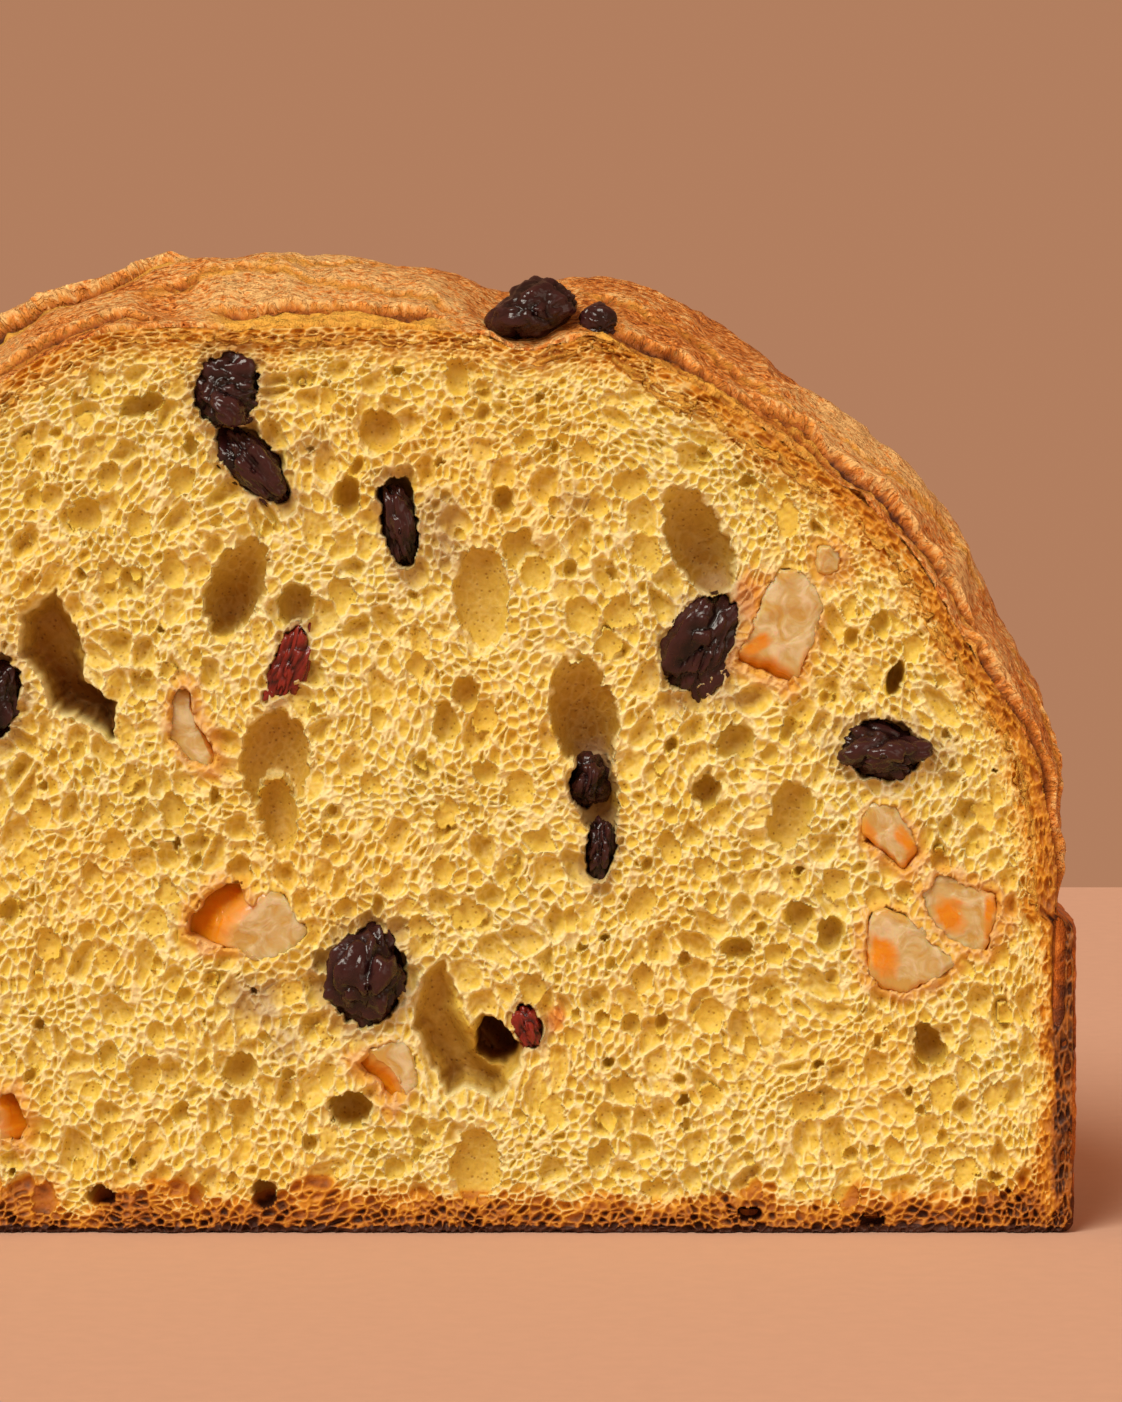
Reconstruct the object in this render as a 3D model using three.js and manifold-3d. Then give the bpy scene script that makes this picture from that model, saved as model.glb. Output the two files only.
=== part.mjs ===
// Half a panettone, standing on its base with the cut face to the front.
// A low loaf: a straight wall where the paper mould held the dough, a waist, and a dome above it.
// The cut runs a little in front of the loaf's axis, so slightly more than half is left.
// Raisins and cubes of candied peel sit in pockets in the cut face, and two raisins on the dome.
// Millimetres, +Z up, +X to the right, -Y towards whoever looks at the cut face.
// The work is done with the cut face in the plane y = 0; at the end the group is moved so that
// its origin is the middle of the bounding box, at the bottom.
import * as THREE from "three";
import { mergeVertices } from "three/addons/utils/BufferGeometryUtils.js";
import Module from "manifold-3d";

const wasm = await Module();
wasm.setup();

// Driving sizes of the loaf
const axisBehindCut = 8; // how far the loaf's axis lies behind the cut face
const wallRadius = 101.1;
const wallHeight = 44; // where the paper mould ended
const footRounding = 2; // the rounded edge round the base
const domeStart = 47; // height of the waist, where the dome springs
const domeRadius = 98.6;
const domeRise = 92.6;
const domePower = 2.2; // 2 is an ellipse; more is squarer
const rimDip = 7.5; // how far the crust rounds down to the cut
const rimDipDepth = 20; // how far back that rounding reaches
const scorePlace = 24; // x of the score in the dome, at the cut
const scoreDrift = -0.22; // how the score wanders sideways as it runs back
const scoreDepth = 3;
const scoreWidth = 6;
// Broad swellings and hollows of the dome: [turn up the arch in degrees, width, height]
const lobes = [
  [61, 6, -1.3],
  [75, 5, 1],
  [86, 5, -1.2],
  [111, 9, 1.6],
];

// How finely the loaf is faceted
const domeSteps = 48; // round the arch of the cut
const wallLevels = [0, footRounding, 16, 30, wallHeight - 2, wallHeight, domeStart];
const depthTurns = [0, 1.6, 3.2, 5, 7, 9.5, 12.5, 16, 20, 25, 31, 38, 46, 54, 62, 70, 78, 84, 90];

const pocketGap = 0.6; // round each raisin and each cube of peel
const crumbColour = "#e8bd55";
const raisinColour = "#2b1714";
const redRaisinColour = "#6a1f14";
const paleColour = "#dcae6a";
const orangeColour = "#cf7410";

const clamp = (x, low, high) => Math.min(high, Math.max(low, x));
const smooth = (from, to, x) => {
  const t = clamp((x - from) / (to - from), 0, 1);
  return t * t * (3 - 2 * t);
};
const hump = (x, middle, width) => Math.exp(-(((x - middle) / width) ** 2));

// The loaf's outline

// The wall's radius at a height: rounded at the foot and drawn in at the waist.
function wallRadiusAt(z) {
  const foot = Math.max(0, footRounding - z);
  const rounding = footRounding - Math.sqrt(footRounding ** 2 - foot ** 2);
  const waist = (wallRadius - domeRadius) * smooth(wallHeight, domeStart, z);
  return wallRadius - rounding - waist;
}

// How far a point of the dome's block lies outside the plain dome, as a share of its size.
function outsideDome(x, y, z) {
  const out = Math.hypot(x, y - axisBehindCut) / domeRadius;
  const up = Math.abs(z - domeStart) / domeRise;
  return out ** domePower + up ** domePower - 1;
}

// The crust's relief: a shoulder above the waist, a rounding down to the cut, a score that runs
// back from the raisins, the lifted edge of the crust at the upper left, lobes and slow lumps.
function crustRelief(x, y, z) {
  const arch = (Math.atan2(z, x) * 180) / Math.PI; // 0 at the right foot of the cut, 180 at the left
  const side = Math.min(arch, 180 - arch);
  const shoulder = 2.5 * hump(z, 72, 14);
  const dipHere = rimDip + 1.5 * hump(arch, 88, 10) - 3.5 * hump(arch, 106, 7);
  const dip = dipHere * smooth(26, 46, side) * (1 - smooth(0, rimDipDepth, y));
  const scoreX = scorePlace + scoreDrift * y;
  const score = scoreDepth * hump(x, scoreX, scoreWidth) * smooth(80, 112, z);
  const lip = 3.2 * hump(arch, 101, 7) * hump(y, 13, 6);
  const lobe = lobes.reduce((sum, [turn, width, height]) => sum + height * hump(arch, turn, width), 0);
  const lumps = 0.9 * Math.sin(x / 13 + 1) * Math.sin(y / 15 + 2) + 0.7 * Math.sin(z / 11 + x / 19);
  return (shoulder - dip - score + lip + lobe + lumps) * smooth(domeStart, domeStart + 8, z);
}

// A point of the dome, by its turn up the arch of the cut and its turn back from the cut, in degrees.
function domePoint(archTurn, backTurn) {
  const a = (archTurn * Math.PI) / 180;
  const b = (backTurn * Math.PI) / 180;
  const ray = [Math.cos(b) * Math.cos(a), Math.sin(b), Math.cos(b) * Math.sin(a)];
  const at = (r) => [ray[0] * r, ray[1] * r, domeStart + ray[2] * r];
  let near = 0;
  let far = 2 * domeRadius;
  for (let i = 0; i < 40; i++) {
    const middle = (near + far) / 2;
    if (outsideDome(...at(middle)) < 0) near = middle;
    else far = middle;
  }
  const p = at(near);
  const reach = Math.hypot(p[0], p[1] - axisBehindCut) || 1;
  const out = (reach / domeRadius) ** (domePower - 1) / domeRadius;
  const up = (Math.max(p[2] - domeStart, 0) / domeRise) ** (domePower - 1) / domeRise;
  const length = Math.hypot(out, up);
  const relief = crustRelief(...p) / length;
  return [
    p[0] + (relief * out * p[0]) / reach,
    p[1] + (relief * out * (p[1] - axisBehindCut) * smooth(0, 20, p[1])) / reach,
    Math.max(p[2] + relief * up, domeStart),
  ];
}

// A point of the wall, below the dome's point at the waist.
function wallPoint(backTurn, side, z) {
  const [x, y] = domePoint(0, backTurn);
  const radius = wallRadiusAt(z);
  if (backTurn === 0) return [side * Math.sqrt(radius ** 2 - axisBehindCut ** 2), 0, z];
  const grow = radius / domeRadius;
  return [side * x * grow, Math.max(0, axisBehindCut + (y - axisBehindCut) * grow), z];
}

// Two triangles for each cell of a grid of points, facing to the left of its rows
function addGrid(triangles, rows) {
  for (let i = 0; i + 1 < rows.length; i++)
    for (let j = 0; j + 1 < rows[i].length; j++) {
      const [a, b, c, d] = [rows[i][j], rows[i][j + 1], rows[i + 1][j + 1], rows[i + 1][j]];
      triangles.push(a, b, c, a, c, d);
    }
}

function addFan(triangles, hub, edge) {
  for (let i = 0; i + 1 < edge.length; i++) triangles.push(hub, edge[i], edge[i + 1]);
}

function geometryOf(triangles) {
  const geometry = new THREE.BufferGeometry();
  geometry.setAttribute("position", new THREE.Float32BufferAttribute(triangles.flat(), 3));
  return geometry;
}

// The whole loaf as one closed surface: dome, wall, base and flat cut face.
function loafGeometry() {
  const triangles = [];
  const archTurns = Array.from({ length: domeSteps + 1 }, (_, i) => (180 * i) / domeSteps);
  addGrid(triangles, archTurns.map((a) => depthTurns.map((b) => domePoint(a, b))));
  const round = [
    ...depthTurns.map((b) => [b, 1]),
    ...depthTurns.slice(0, -1).reverse().map((b) => [b, -1]),
  ];
  addGrid(triangles, wallLevels.map((z) => round.map(([b, side]) => wallPoint(b, side, z))));
  addFan(triangles, [0, 0, 0], round.map(([b, side]) => wallPoint(b, side, 0)).reverse());
  const rightEdge = wallLevels.map((z) => wallPoint(0, 1, z));
  const leftEdge = wallLevels.map((z) => wallPoint(0, -1, z)).reverse();
  const arch = archTurns.map((a) => domePoint(a, 0));
  const rim = [[0, 0, 0], ...rightEdge, ...arch.slice(1, -1), ...leftEdge, [0, 0, 0]];
  addFan(triangles, [0, 0, domeStart], rim);
  return geometryOf(triangles);
}

// Joining and cutting

function solidOf(geometry, matrix = new THREE.Matrix4()) {
  const plain = geometry.index ? geometry.toNonIndexed() : geometry.clone();
  plain.deleteAttribute("normal");
  plain.deleteAttribute("uv");
  const merged = mergeVertices(plain.applyMatrix4(matrix), 1e-3);
  return new wasm.Manifold(
    new wasm.Mesh({
      numProp: 3,
      vertProperties: merged.attributes.position.array,
      triVerts: new Uint32Array(merged.index.array),
    }),
  );
}

function geometryFrom(solid) {
  const { vertProperties, triVerts } = solid.getMesh();
  const geometry = new THREE.BufferGeometry();
  geometry.setAttribute("position", new THREE.BufferAttribute(new Float32Array(vertProperties), 3));
  geometry.setIndex(new THREE.BufferAttribute(new Uint32Array(triVerts), 1));
  return geometry;
}

const largestBody = (solid) =>
  solid.decompose().reduce((best, next) => (next.volume() > best.volume() ? next : best));

// Turned about Y, a piece leans its top to the right; turned about X, its foot goes into the loaf.
function placed(x, y, z, leanRight = 0, footIn = 0) {
  const turn = new THREE.Euler(
    THREE.MathUtils.degToRad(footIn),
    THREE.MathUtils.degToRad(leanRight),
    0,
    "YXZ",
  );
  return new THREE.Matrix4().compose(
    new THREE.Vector3(x, y, z),
    new THREE.Quaternion().setFromEuler(turn),
    new THREE.Vector3(1, 1, 1),
  );
}

// The large holes of the crumb, each a bubble cut by the face:
// [x, z, width, height, depth, lean to the right, foot in], in millimetres and degrees
const holes = [
  [-19.3, 93.2, 8.4, 15.2, 8, 24, 12], // left of centre, open and dark
  [-11, 90.4, 5.6, 6.4, 5, 10, 0],
  [-45.6, 86, 8.2, 14.6, 11, -24, 22], // at the left, with a side arm below it
  [-41, 75.4, 9, 5, 13, -64, 0],
  [-13.8, 68, 10.4, 15, 5.5, 0, 0], // wide above and narrow below
  [-13.6, 60.5, 5.6, 11, 5, -6, 0],
  [30.4, 74.6, 9.6, 18.4, 11, -12, 24], // right of centre, with raisins in its foot
  [32.4, 62.5, 6.4, 12, 7, -10, 10],
  [46.6, 99.8, 8.8, 17, 10, -24, 24], // above the large raisin on the right
  [15.7, 91.7, 8.2, 15.2, 3.4, -3, 0],
  [59.8, 60, 6.6, 11, 3.6, 10, 0],
  [1.1, 115.6, 6.2, 6.2, 3.8, 0, 0],
  [-3.4, 106, 3.8, 5.6, 4.4, 0, 0],
  [3.4, 106.4, 5.6, 5.6, 8, 0, 0],
  [-32.7, 119, 6.6, 3.4, 3.6, -18, 0],
  [18.8, 105.3, 3.2, 4.2, 3.6, 0, 0],
  [21.2, 98.2, 5, 7.4, 2.6, -12, 0],
  [51.8, 71, 5.8, 5.8, 3.4, 0, 0],
  [47.8, 63.8, 4.4, 5, 4.6, 0, 0],
  [10.4, 73.6, 4, 6.2, 3, 0, 0],
  [13.4, 77.8, 4.4, 5, 3.2, 10, 0],
  [8.4, 31.6, 6.4, 14.6, 9, 8, 10], // the cave low in the middle: a shaft,
  [15.4, 24.6, 10.6, 9.6, 16, 0, 0], // a deep chamber
  [18.4, 29, 7, 6, 16, 40, 0], // and a dark corner
  [-3.4, 17.8, 7, 5.2, 6.5, 0, 0],
  [-19.2, 23.6, 5.2, 6, 4, 20, 0],
  [79.8, 27.2, 4.6, 7, 5.4, -30, 0],
  [61.2, 46, 4, 5.2, 3.4, 0, 0],
  [65.6, 43.2, 4, 5.2, 3.8, 0, 0],
  [52.6, 41, 5.2, 3.2, 3.4, 0, 0],
  [74.8, 80, 2.4, 5.2, 6, 14, 0],
  [14.8, 9.8, 8, 11, 2.8, 0, 0],
  [-40.8, 103.2, 5.4, 5.2, 2.8, 0, 0],
  [-15.7, 5.6, 3.8, 4.4, 5, 0, 0],
  [-39, 5.4, 4.4, 3.2, 5, 0, 0],
  [54, 2.8, 3.8, 2.2, 4, 0, 0],
  [-62, 96, 6.2, 11, 6, 20, 10],
  [-72, 78, 7.2, 12, 8, 16, 16],
  [-68, 48, 6, 8, 5, 0, 0],
  [-57, 64, 6.4, 9.2, 4.4, -10, 0],
  [-82, 58, 4.6, 7.4, 5, 12, 0],
  [-61, 24, 8.2, 6.4, 6, 0, 0],
  [-84, 26, 5, 6.4, 4.4, -8, 0],
];

// Raisins: [name, x, y of the middle, z, width, depth, height, lean to the right, shade]
const raisins = [
  ["raisin_upper_left", -20.6, 2.2, 120.6, 10.6, 9.6, 10.4, 20, raisinColour],
  ["raisin_below_it", -16.8, 2.4, 109.8, 7.4, 8, 13.4, -42, raisinColour],
  ["raisin_webbed", 4, 4, 101, 5.8, 7, 11.8, -9, raisinColour],
  ["raisin_red", -11.9, 1.6, 81.7, 4.8, 5, 11, 20, redRaisinColour],
  ["raisin_large_right", 46.9, 2.6, 84.2, 9.8, 9.4, 15, 28, raisinColour],
  ["raisin_right", 73, 2.2, 69.1, 12.8, 8.4, 8.6, 6, raisinColour],
  ["raisin_in_hole", 31.2, 6.4, 64.4, 6.4, 8, 7.6, 20, raisinColour],
  ["raisin_under_hole", 32.8, 3.6, 55.2, 4.8, 7, 9.6, 8, raisinColour],
  ["raisin_round", -0.7, 2.6, 36, 12.6, 11, 14, 12, raisinColour],
  ["raisin_low_red", 22.3, 2, 29.6, 4.6, 5.4, 6.2, -20, redRaisinColour],
  ["raisin_left_edge", -54.6, 2.8, 76, 9.6, 9, 13.4, 12, raisinColour],
  ["raisin_on_crust", 23.4, 5, 132.1, 11.6, 9.4, 9, -8, raisinColour],
  ["raisin_on_crust_small", 32.6, 4.4, 130, 6.2, 6.6, 6, 10, raisinColour],
  ["raisin_far_left", -70.5, 2.2, 89.5, 8.4, 8, 10.8, 34, raisinColour],
  ["raisin_low_left", -75.4, 2.4, 35.4, 11, 9, 8.6, -16, raisinColour],
];

// Cubes of candied peel, cut through with the crumb. The pale pith lies in the face as a flat
// shape; on one side the orange skin slopes back from it into the crumb.
// corners: of the pale shape, as x and z, anticlockwise seen from the front
// skin: which way the slope leads, and how far; drop: how deep its far edge lies
const peels = {
  peel_large: {
    corners: [[57.8, 95.9], [54.7, 88.9], [52.4, 83.9], [57.7, 81.9], [60.9, 80],
      [63, 85.3], [64.6, 90.3], [62.2, 95.2]],
    skin: [-0.8, -1.8], drop: 2.4, front: -0.7, depth: 9, shade: paleColour,
  },
  peel_small: {
    corners: [[63.7, 98.9], [63.2, 96.4], [64.4, 94.8], [66.6, 95], [67.2, 97.4], [65.8, 99.2]],
    skin: [0.2, -0.2], drop: 0.6, front: -0.4, depth: 4, shade: paleColour,
  },
  peel_upper_right: {
    corners: [[71.5, 62.2], [69.9, 59.8], [70.2, 57.9], [73.7, 54.9], [75.8, 53], [78.2, 56.2],
      [76.8, 59.2], [75.2, 61.7]],
    skin: [0.2, -1.6], drop: 2.2, front: -0.4, depth: 8, shade: orangeColour,
  },
  peel_right: {
    corners: [[71.4, 46.4], [70.9, 42.4], [71.2, 37.7], [73.3, 35.8], [76.3, 34.9], [81, 36.8],
      [84, 38.8], [82.8, 40.2], [80.2, 42], [78.8, 44.1], [76.2, 46.1], [73.7, 46.9]],
    skin: [-0.4, -0.5], drop: 1.2, front: -0.7, depth: 8, shade: paleColour,
  },
  peel_far_right: {
    corners: [[81.5, 52.2], [78, 49.3], [80, 45], [82.1, 43], [84.7, 41], [88, 40.4], [89.4, 44.9],
      [89.2, 49.2], [84, 50.8]],
    skin: [0.5, 0], drop: 1.4, front: 0.2, depth: 8, shade: orangeColour,
  },
  peel_left: {
    corners: [[-12.7, 49], [-15.1, 49.6], [-18.2, 46.9], [-20.2, 44.7], [-21, 41.4],
      [-17.1, 39.5], [-14, 39.4], [-10.7, 41.2], [-9.3, 43.7], [-11, 46.2]],
    skin: [-6.2, 1.6], drop: 4, front: -0.6, depth: 8, shade: orangeColour,
  },
  peel_low: {
    corners: [[3.9, 28.4], [-1, 26.8], [0.9, 25], [3, 23], [4.9, 19.5], [6.4, 22.3], [6.2, 25.6]],
    skin: [-2.2, -2], drop: 2.6, front: -0.6, depth: 7, shade: orangeColour,
  },
  peel_strip: {
    corners: [[-27.8, 79], [-29, 76.4], [-29.4, 72], [-28.2, 70.2], [-26.2, 67.9], [-23.2, 66.6],
      [-22.8, 68.6], [-24.5, 72], [-26.1, 75.7], [-26.2, 78.2]],
    skin: [0.7, 0.2], drop: 1, front: 1.4, depth: 8, shade: orangeColour,
  },
  peel_left_edge: {
    corners: [[-54.8, 20.2], [-57.4, 20], [-58.6, 17], [-57.6, 13], [-54.2, 11.9], [-53, 14.4],
      [-53.6, 17.6]],
    skin: [3.6, 0.6], drop: 3, front: -0.5, depth: 8, shade: orangeColour,
  },
  peel_far_left: {
    corners: [[-84.6, 49], [-90, 48.4], [-91.4, 42.2], [-87, 40.8], [-83.4, 43.4]],
    skin: [1, -1.6], drop: 2.2, front: -0.5, depth: 7, shade: paleColour,
  },
  peel_low_left: {
    corners: [[-64.8, 17], [-70.6, 15.8], [-72.4, 11.4], [-69, 9], [-64, 12]],
    skin: [-2.6, 0.6], drop: 2.6, front: -0.5, depth: 8, shade: orangeColour,
  },
};

// A bubble sits with its middle a little behind the face, so its mouth is slightly drawn in.
function holeSolid([x, z, width, height, depth, lean, footIn]) {
  const bubble = new THREE.SphereGeometry(1, 10, 7).scale(width / 2, depth * 0.8, height / 2);
  return solidOf(bubble, placed(x, depth * 0.2, z, lean, footIn));
}

// A raisin is a sphere drawn out to its three sizes, with furrows along it and a few lumps.
function raisinGeometry(width, depth, height, seed, swell = 0) {
  const ball = new THREE.SphereGeometry(1, 14, 8);
  const place = ball.attributes.position;
  const p = new THREE.Vector3();
  for (let i = 0; i < place.count; i++) {
    p.fromBufferAttribute(place, i);
    const around = Math.atan2(p.z, p.x);
    const furrow = 0.07 * Math.sin(5 * around + seed) * (1 - p.y * p.y);
    const lump = 0.08 * Math.sin(3.1 * p.x + 2 * seed) * Math.cos(2.7 * p.y + 4.1 * p.z + seed);
    p.multiplyScalar(0.94 + furrow + lump);
    p.multiply(new THREE.Vector3(width / 2, depth / 2, height / 2));
    p.multiplyScalar(1 + swell / p.length());
    place.setXYZ(i, p.x, p.y, p.z);
  }
  return ball;
}

// A cube of peel: the pale shape in front, a sloping rim round it, and sides that draw in
// slightly towards the back. The corners on the side of the skin slide out the furthest.
function peelGeometry({ corners, skin, drop, front, depth }, swell = 0) {
  const middle = [0, 1].map((k) => corners.reduce((sum, c) => sum + c[k], 0) / corners.length);
  const along = corners.map((c) => (c[0] - middle[0]) * skin[0] + (c[1] - middle[1]) * skin[1]);
  const furthest = Math.max(...along);
  const outward = corners.map((_, i) => {
    const from = corners.at(i - 1);
    const to = corners[(i + 1) % corners.length];
    const chord = Math.hypot(to[0] - from[0], to[1] - from[1]);
    return [(to[1] - from[1]) / chord, (from[0] - to[0]) / chord];
  });
  const ring = (share, grow, y) =>
    corners.map((c, i) => {
      const slide = share * smooth(-0.1, 0.5, along[i] / furthest);
      const [x, z] = [0, 1].map((k) => c[k] + outward[i][k] * (grow + swell) + slide * skin[k]);
      return [x, y(slide), z];
    });
  const head = swell ? -2 : front; // a pocket opens to the face, however deep its peel lies
  const rings = [
    ring(0, -0.2, () => head),
    ring(1, 0.2, (slide) => head + (swell ? 0 : 0.5 + slide * (drop - 0.5))),
    ring(1, -0.3, () => depth + swell),
  ].map((r) => [...r, r[0]]);
  const triangles = [];
  addGrid(triangles, rings.reverse());
  addFan(triangles, [middle[0], head, middle[1]], rings[2]);
  addFan(triangles, [middle[0], depth + swell, middle[1]], [...rings[0]].reverse());
  return geometryOf(triangles);
}

// Building the group

const loaf = new THREE.Group();

function addPiece(name, geometry, colour, roughness) {
  const material = new THREE.MeshStandardMaterial({ color: colour, roughness, metalness: 0 });
  const mesh = new THREE.Mesh(geometry, material);
  mesh.name = name;
  loaf.add(mesh);
  return mesh;
}

let bread = solidOf(loafGeometry());
for (const hole of holes) bread = bread.subtract(holeSolid(hole));

raisins.forEach(([name, x, y, z, width, depth, height, lean, shade], i) => {
  const place = placed(x, y, z, lean);
  bread = bread.subtract(solidOf(raisinGeometry(width, depth, height, i, pocketGap), place));
  const mesh = addPiece(name, raisinGeometry(width, depth, height, i), shade, 0.35);
  mesh.applyMatrix4(place);
});

for (const [name, peel] of Object.entries(peels)) {
  bread = bread.subtract(solidOf(peelGeometry(peel, 1.5 * pocketGap)));
  addPiece(name, peelGeometry(peel), peel.shade, 0.4);
}

addPiece("bread", geometryFrom(largestBody(bread)), crumbColour, 0.85);

// The origin goes to the middle of the bounding box, at the bottom.
loaf.updateMatrixWorld(true);
const box = new THREE.Box3().setFromObject(loaf, true);
const middle = box.getCenter(new THREE.Vector3());
loaf.position.set(-middle.x, -middle.y, -box.min.z);

export default loaf;
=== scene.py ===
# Half a panettone: torn yellow crumb with raisins and candied peel, a wrinkled crust round it.
# Shapes are worked out in millimetres. The cut face is the plane y = 0 and the loaf lies behind
# it (+y); x runs to the right and z up from the base. toFrame moves a shape into the frame.
import math
import bpy
import numpy as np
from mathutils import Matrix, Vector


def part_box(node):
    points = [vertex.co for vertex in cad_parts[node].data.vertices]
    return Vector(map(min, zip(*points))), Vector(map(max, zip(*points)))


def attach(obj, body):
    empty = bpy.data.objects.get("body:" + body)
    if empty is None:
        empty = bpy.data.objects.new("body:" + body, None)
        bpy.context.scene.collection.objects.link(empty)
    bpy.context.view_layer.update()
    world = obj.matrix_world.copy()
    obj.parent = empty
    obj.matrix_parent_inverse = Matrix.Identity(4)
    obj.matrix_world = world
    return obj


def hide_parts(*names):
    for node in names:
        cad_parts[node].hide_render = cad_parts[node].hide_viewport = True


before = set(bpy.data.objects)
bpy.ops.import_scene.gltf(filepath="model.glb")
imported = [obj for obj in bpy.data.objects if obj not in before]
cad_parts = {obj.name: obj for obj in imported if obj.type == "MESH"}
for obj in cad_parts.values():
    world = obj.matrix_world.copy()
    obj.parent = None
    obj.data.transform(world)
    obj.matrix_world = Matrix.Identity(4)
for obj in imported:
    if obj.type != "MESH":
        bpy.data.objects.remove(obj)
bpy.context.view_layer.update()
mm = 0.001
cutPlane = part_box("bread")[0].y  # metres, where the cut face lies in the frame

# The loaf, as the solids have it
loaf = dict(
    axisBehindCut=8.0,
    wallRadius=101.1,
    wallHeight=44.0,
    footRounding=2.0,
    domeStart=47.0,
    domeRadius=98.6,
    domeRise=92.6,
    domePower=2.2,
    rimDip=7.5,
    rimDipDepth=20.0,
    lobes=[(61, 6, -1.3), (75, 5, 1.0), (86, 5, -1.2), (111, 9, 1.6)],  # turn, width, height
    arcPerDegree=1.75,  # millimetres round the arch for one degree of turn
)


# Numbers and noise

def smooth(start, end, x):
    # 0 before start, 1 after end, and an easy slope between them
    t = np.clip((x - start) / (end - start), 0, 1)
    return t * t * (3 - 2 * t)


def hump(x, middle, width):
    # a bell: e to the minus square of the distance from the middle, in widths
    return np.exp(-((x - middle) / width) ** 2)


def mix(a, b, share):
    return a + (b - a) * share


def below(start, width, x):
    # how far x lies below the start, eased over the width: width log(1 + e^((start - x) / width))
    return width * np.log1p(np.exp(np.clip((start - x) / width, -20, 20)))


def scattered(ix, iy, iz, seed):
    # a number from 0 to 1 for every lattice point: its three whole numbers multiplied by large
    # odd numbers, added, and stirred twice
    n = ix * 374761393 + iy * 668265263 + iz * 1103515245 + seed * 974634777
    n = n & 0xFFFFFFFF
    n = ((n ^ (n >> 13)) * 1274126177) & 0xFFFFFFFF
    n = ((n ^ (n >> 16)) * 668265263) & 0xFFFFFFFF
    n = n ^ (n >> 15)
    return (n & 0xFFFFFF) / 0xFFFFFF


def noise(x, y, z, seed):
    # lattice noise from -1 to 1: the eight lattice values round a point, blended by its place
    x, y, z = np.broadcast_arrays(x, y, z)
    cells = [np.floor(c).astype(np.int64) for c in (x, y, z)]
    shares = [c - i for c, i in zip((x, y, z), cells)]
    shares = [s * s * (3 - 2 * s) for s in shares]
    total = np.zeros(x.shape)
    for corner in range(8):
        steps = [(corner >> k) & 1 for k in range(3)]
        weight = np.ones(x.shape)
        for share, step in zip(shares, steps):
            weight = weight * (share if step else 1 - share)
        total += weight * scattered(*[i + step for i, step in zip(cells, steps)], seed)
    return 2 * total - 1


def roughNoise(x, y, z, seed, octaves=3):
    # several sheets of lattice noise, each twice as fine and half as strong as the one before
    total = np.zeros(np.broadcast(x, y, z).shape)
    for k in range(octaves):
        total += noise(x * 2 ** k, y * 2 ** k, z * 2 ** k, seed + k) / 2 ** k
    return total


# The loaf's form, by the same formulas as the solids

def crustRelief(x, y, z):
    # a shoulder above the waist, less the rounding down to the cut and the score, plus the
    # lifted lip at the upper left, lobes up the arch and slow lumps
    arch = np.degrees(np.arctan2(z, x))
    side = np.minimum(arch, 180 - arch)
    shoulder = 2.5 * hump(z, 72, 14)
    dipHere = loaf["rimDip"] + 1.5 * hump(arch, 88, 10) - 3.5 * hump(arch, 106, 7)
    dip = dipHere * smooth(26, 46, side) * (1 - smooth(0, loaf["rimDipDepth"], y))
    score = 3.0 * hump(x, 24 - 0.22 * y, 6) * smooth(80, 112, z)
    lip = 3.2 * hump(arch, 101, 7) * hump(y, 13, 6)
    lobe = sum(height * hump(arch, turn, width) for turn, width, height in loaf["lobes"])
    lumps = 0.9 * np.sin(x / 13 + 1) * np.sin(y / 15 + 2) + 0.7 * np.sin(z / 11 + x / 19)
    start = loaf["domeStart"]
    return (shoulder - dip - score + lip + lobe + lumps) * smooth(start, start + 8, z)


def domePoints(archTurn, backTurn, detail=None):
    # rays from the middle of the waist, by the turn up the arch and the turn back, meet the
    # rounded dome (reach/radius)^power + (rise/height)^power = 1, found by halving 34 times; the
    # relief and the detail's height are then added along the dome's slope
    a, b = np.radians(archTurn), np.radians(backTurn)
    ray = np.stack([np.cos(b) * np.cos(a), np.sin(b), np.cos(b) * np.sin(a)], -1)
    axis, power = loaf["axisBehindCut"], loaf["domePower"]
    near, far = np.zeros(a.shape), np.full(a.shape, 200.0)
    for _ in range(34):
        middle = (near + far) / 2
        x, y, z = [ray[..., k] * middle for k in range(3)]
        across = (np.hypot(x, y - axis) / loaf["domeRadius"]) ** power
        inside = across + (np.abs(z) / loaf["domeRise"]) ** power < 1
        near, far = np.where(inside, middle, near), np.where(inside, far, middle)
    x, y = ray[..., 0] * near, ray[..., 1] * near
    z = loaf["domeStart"] + ray[..., 2] * near
    reach = np.maximum(np.hypot(x, y - axis), 1e-6)
    out = (reach / loaf["domeRadius"]) ** (power - 1) / loaf["domeRadius"]
    up = (np.maximum(z - loaf["domeStart"], 0) / loaf["domeRise"]) ** (power - 1) / loaf["domeRise"]
    length = np.hypot(out, up)
    normal = np.stack([out * x / reach, out * (y - axis) / reach, up], -1) / length[..., None]
    height = crustRelief(x, y, z)
    if detail:
        height = height + detail(x, y, z)
    # at the cut the height goes up and outwards only
    normal[..., 1] *= smooth(0, 20, y)
    points = np.stack([x, y, z], -1) + normal * height[..., None]
    points[..., 2] = np.maximum(points[..., 2], loaf["domeStart"] - 0.5)
    return points


def archLength(x, z):
    # the way round the arch, by the turn about a place 30 mm over the base
    return np.degrees(np.arctan2(z - 30, x)) * loaf["arcPerDegree"]


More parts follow.
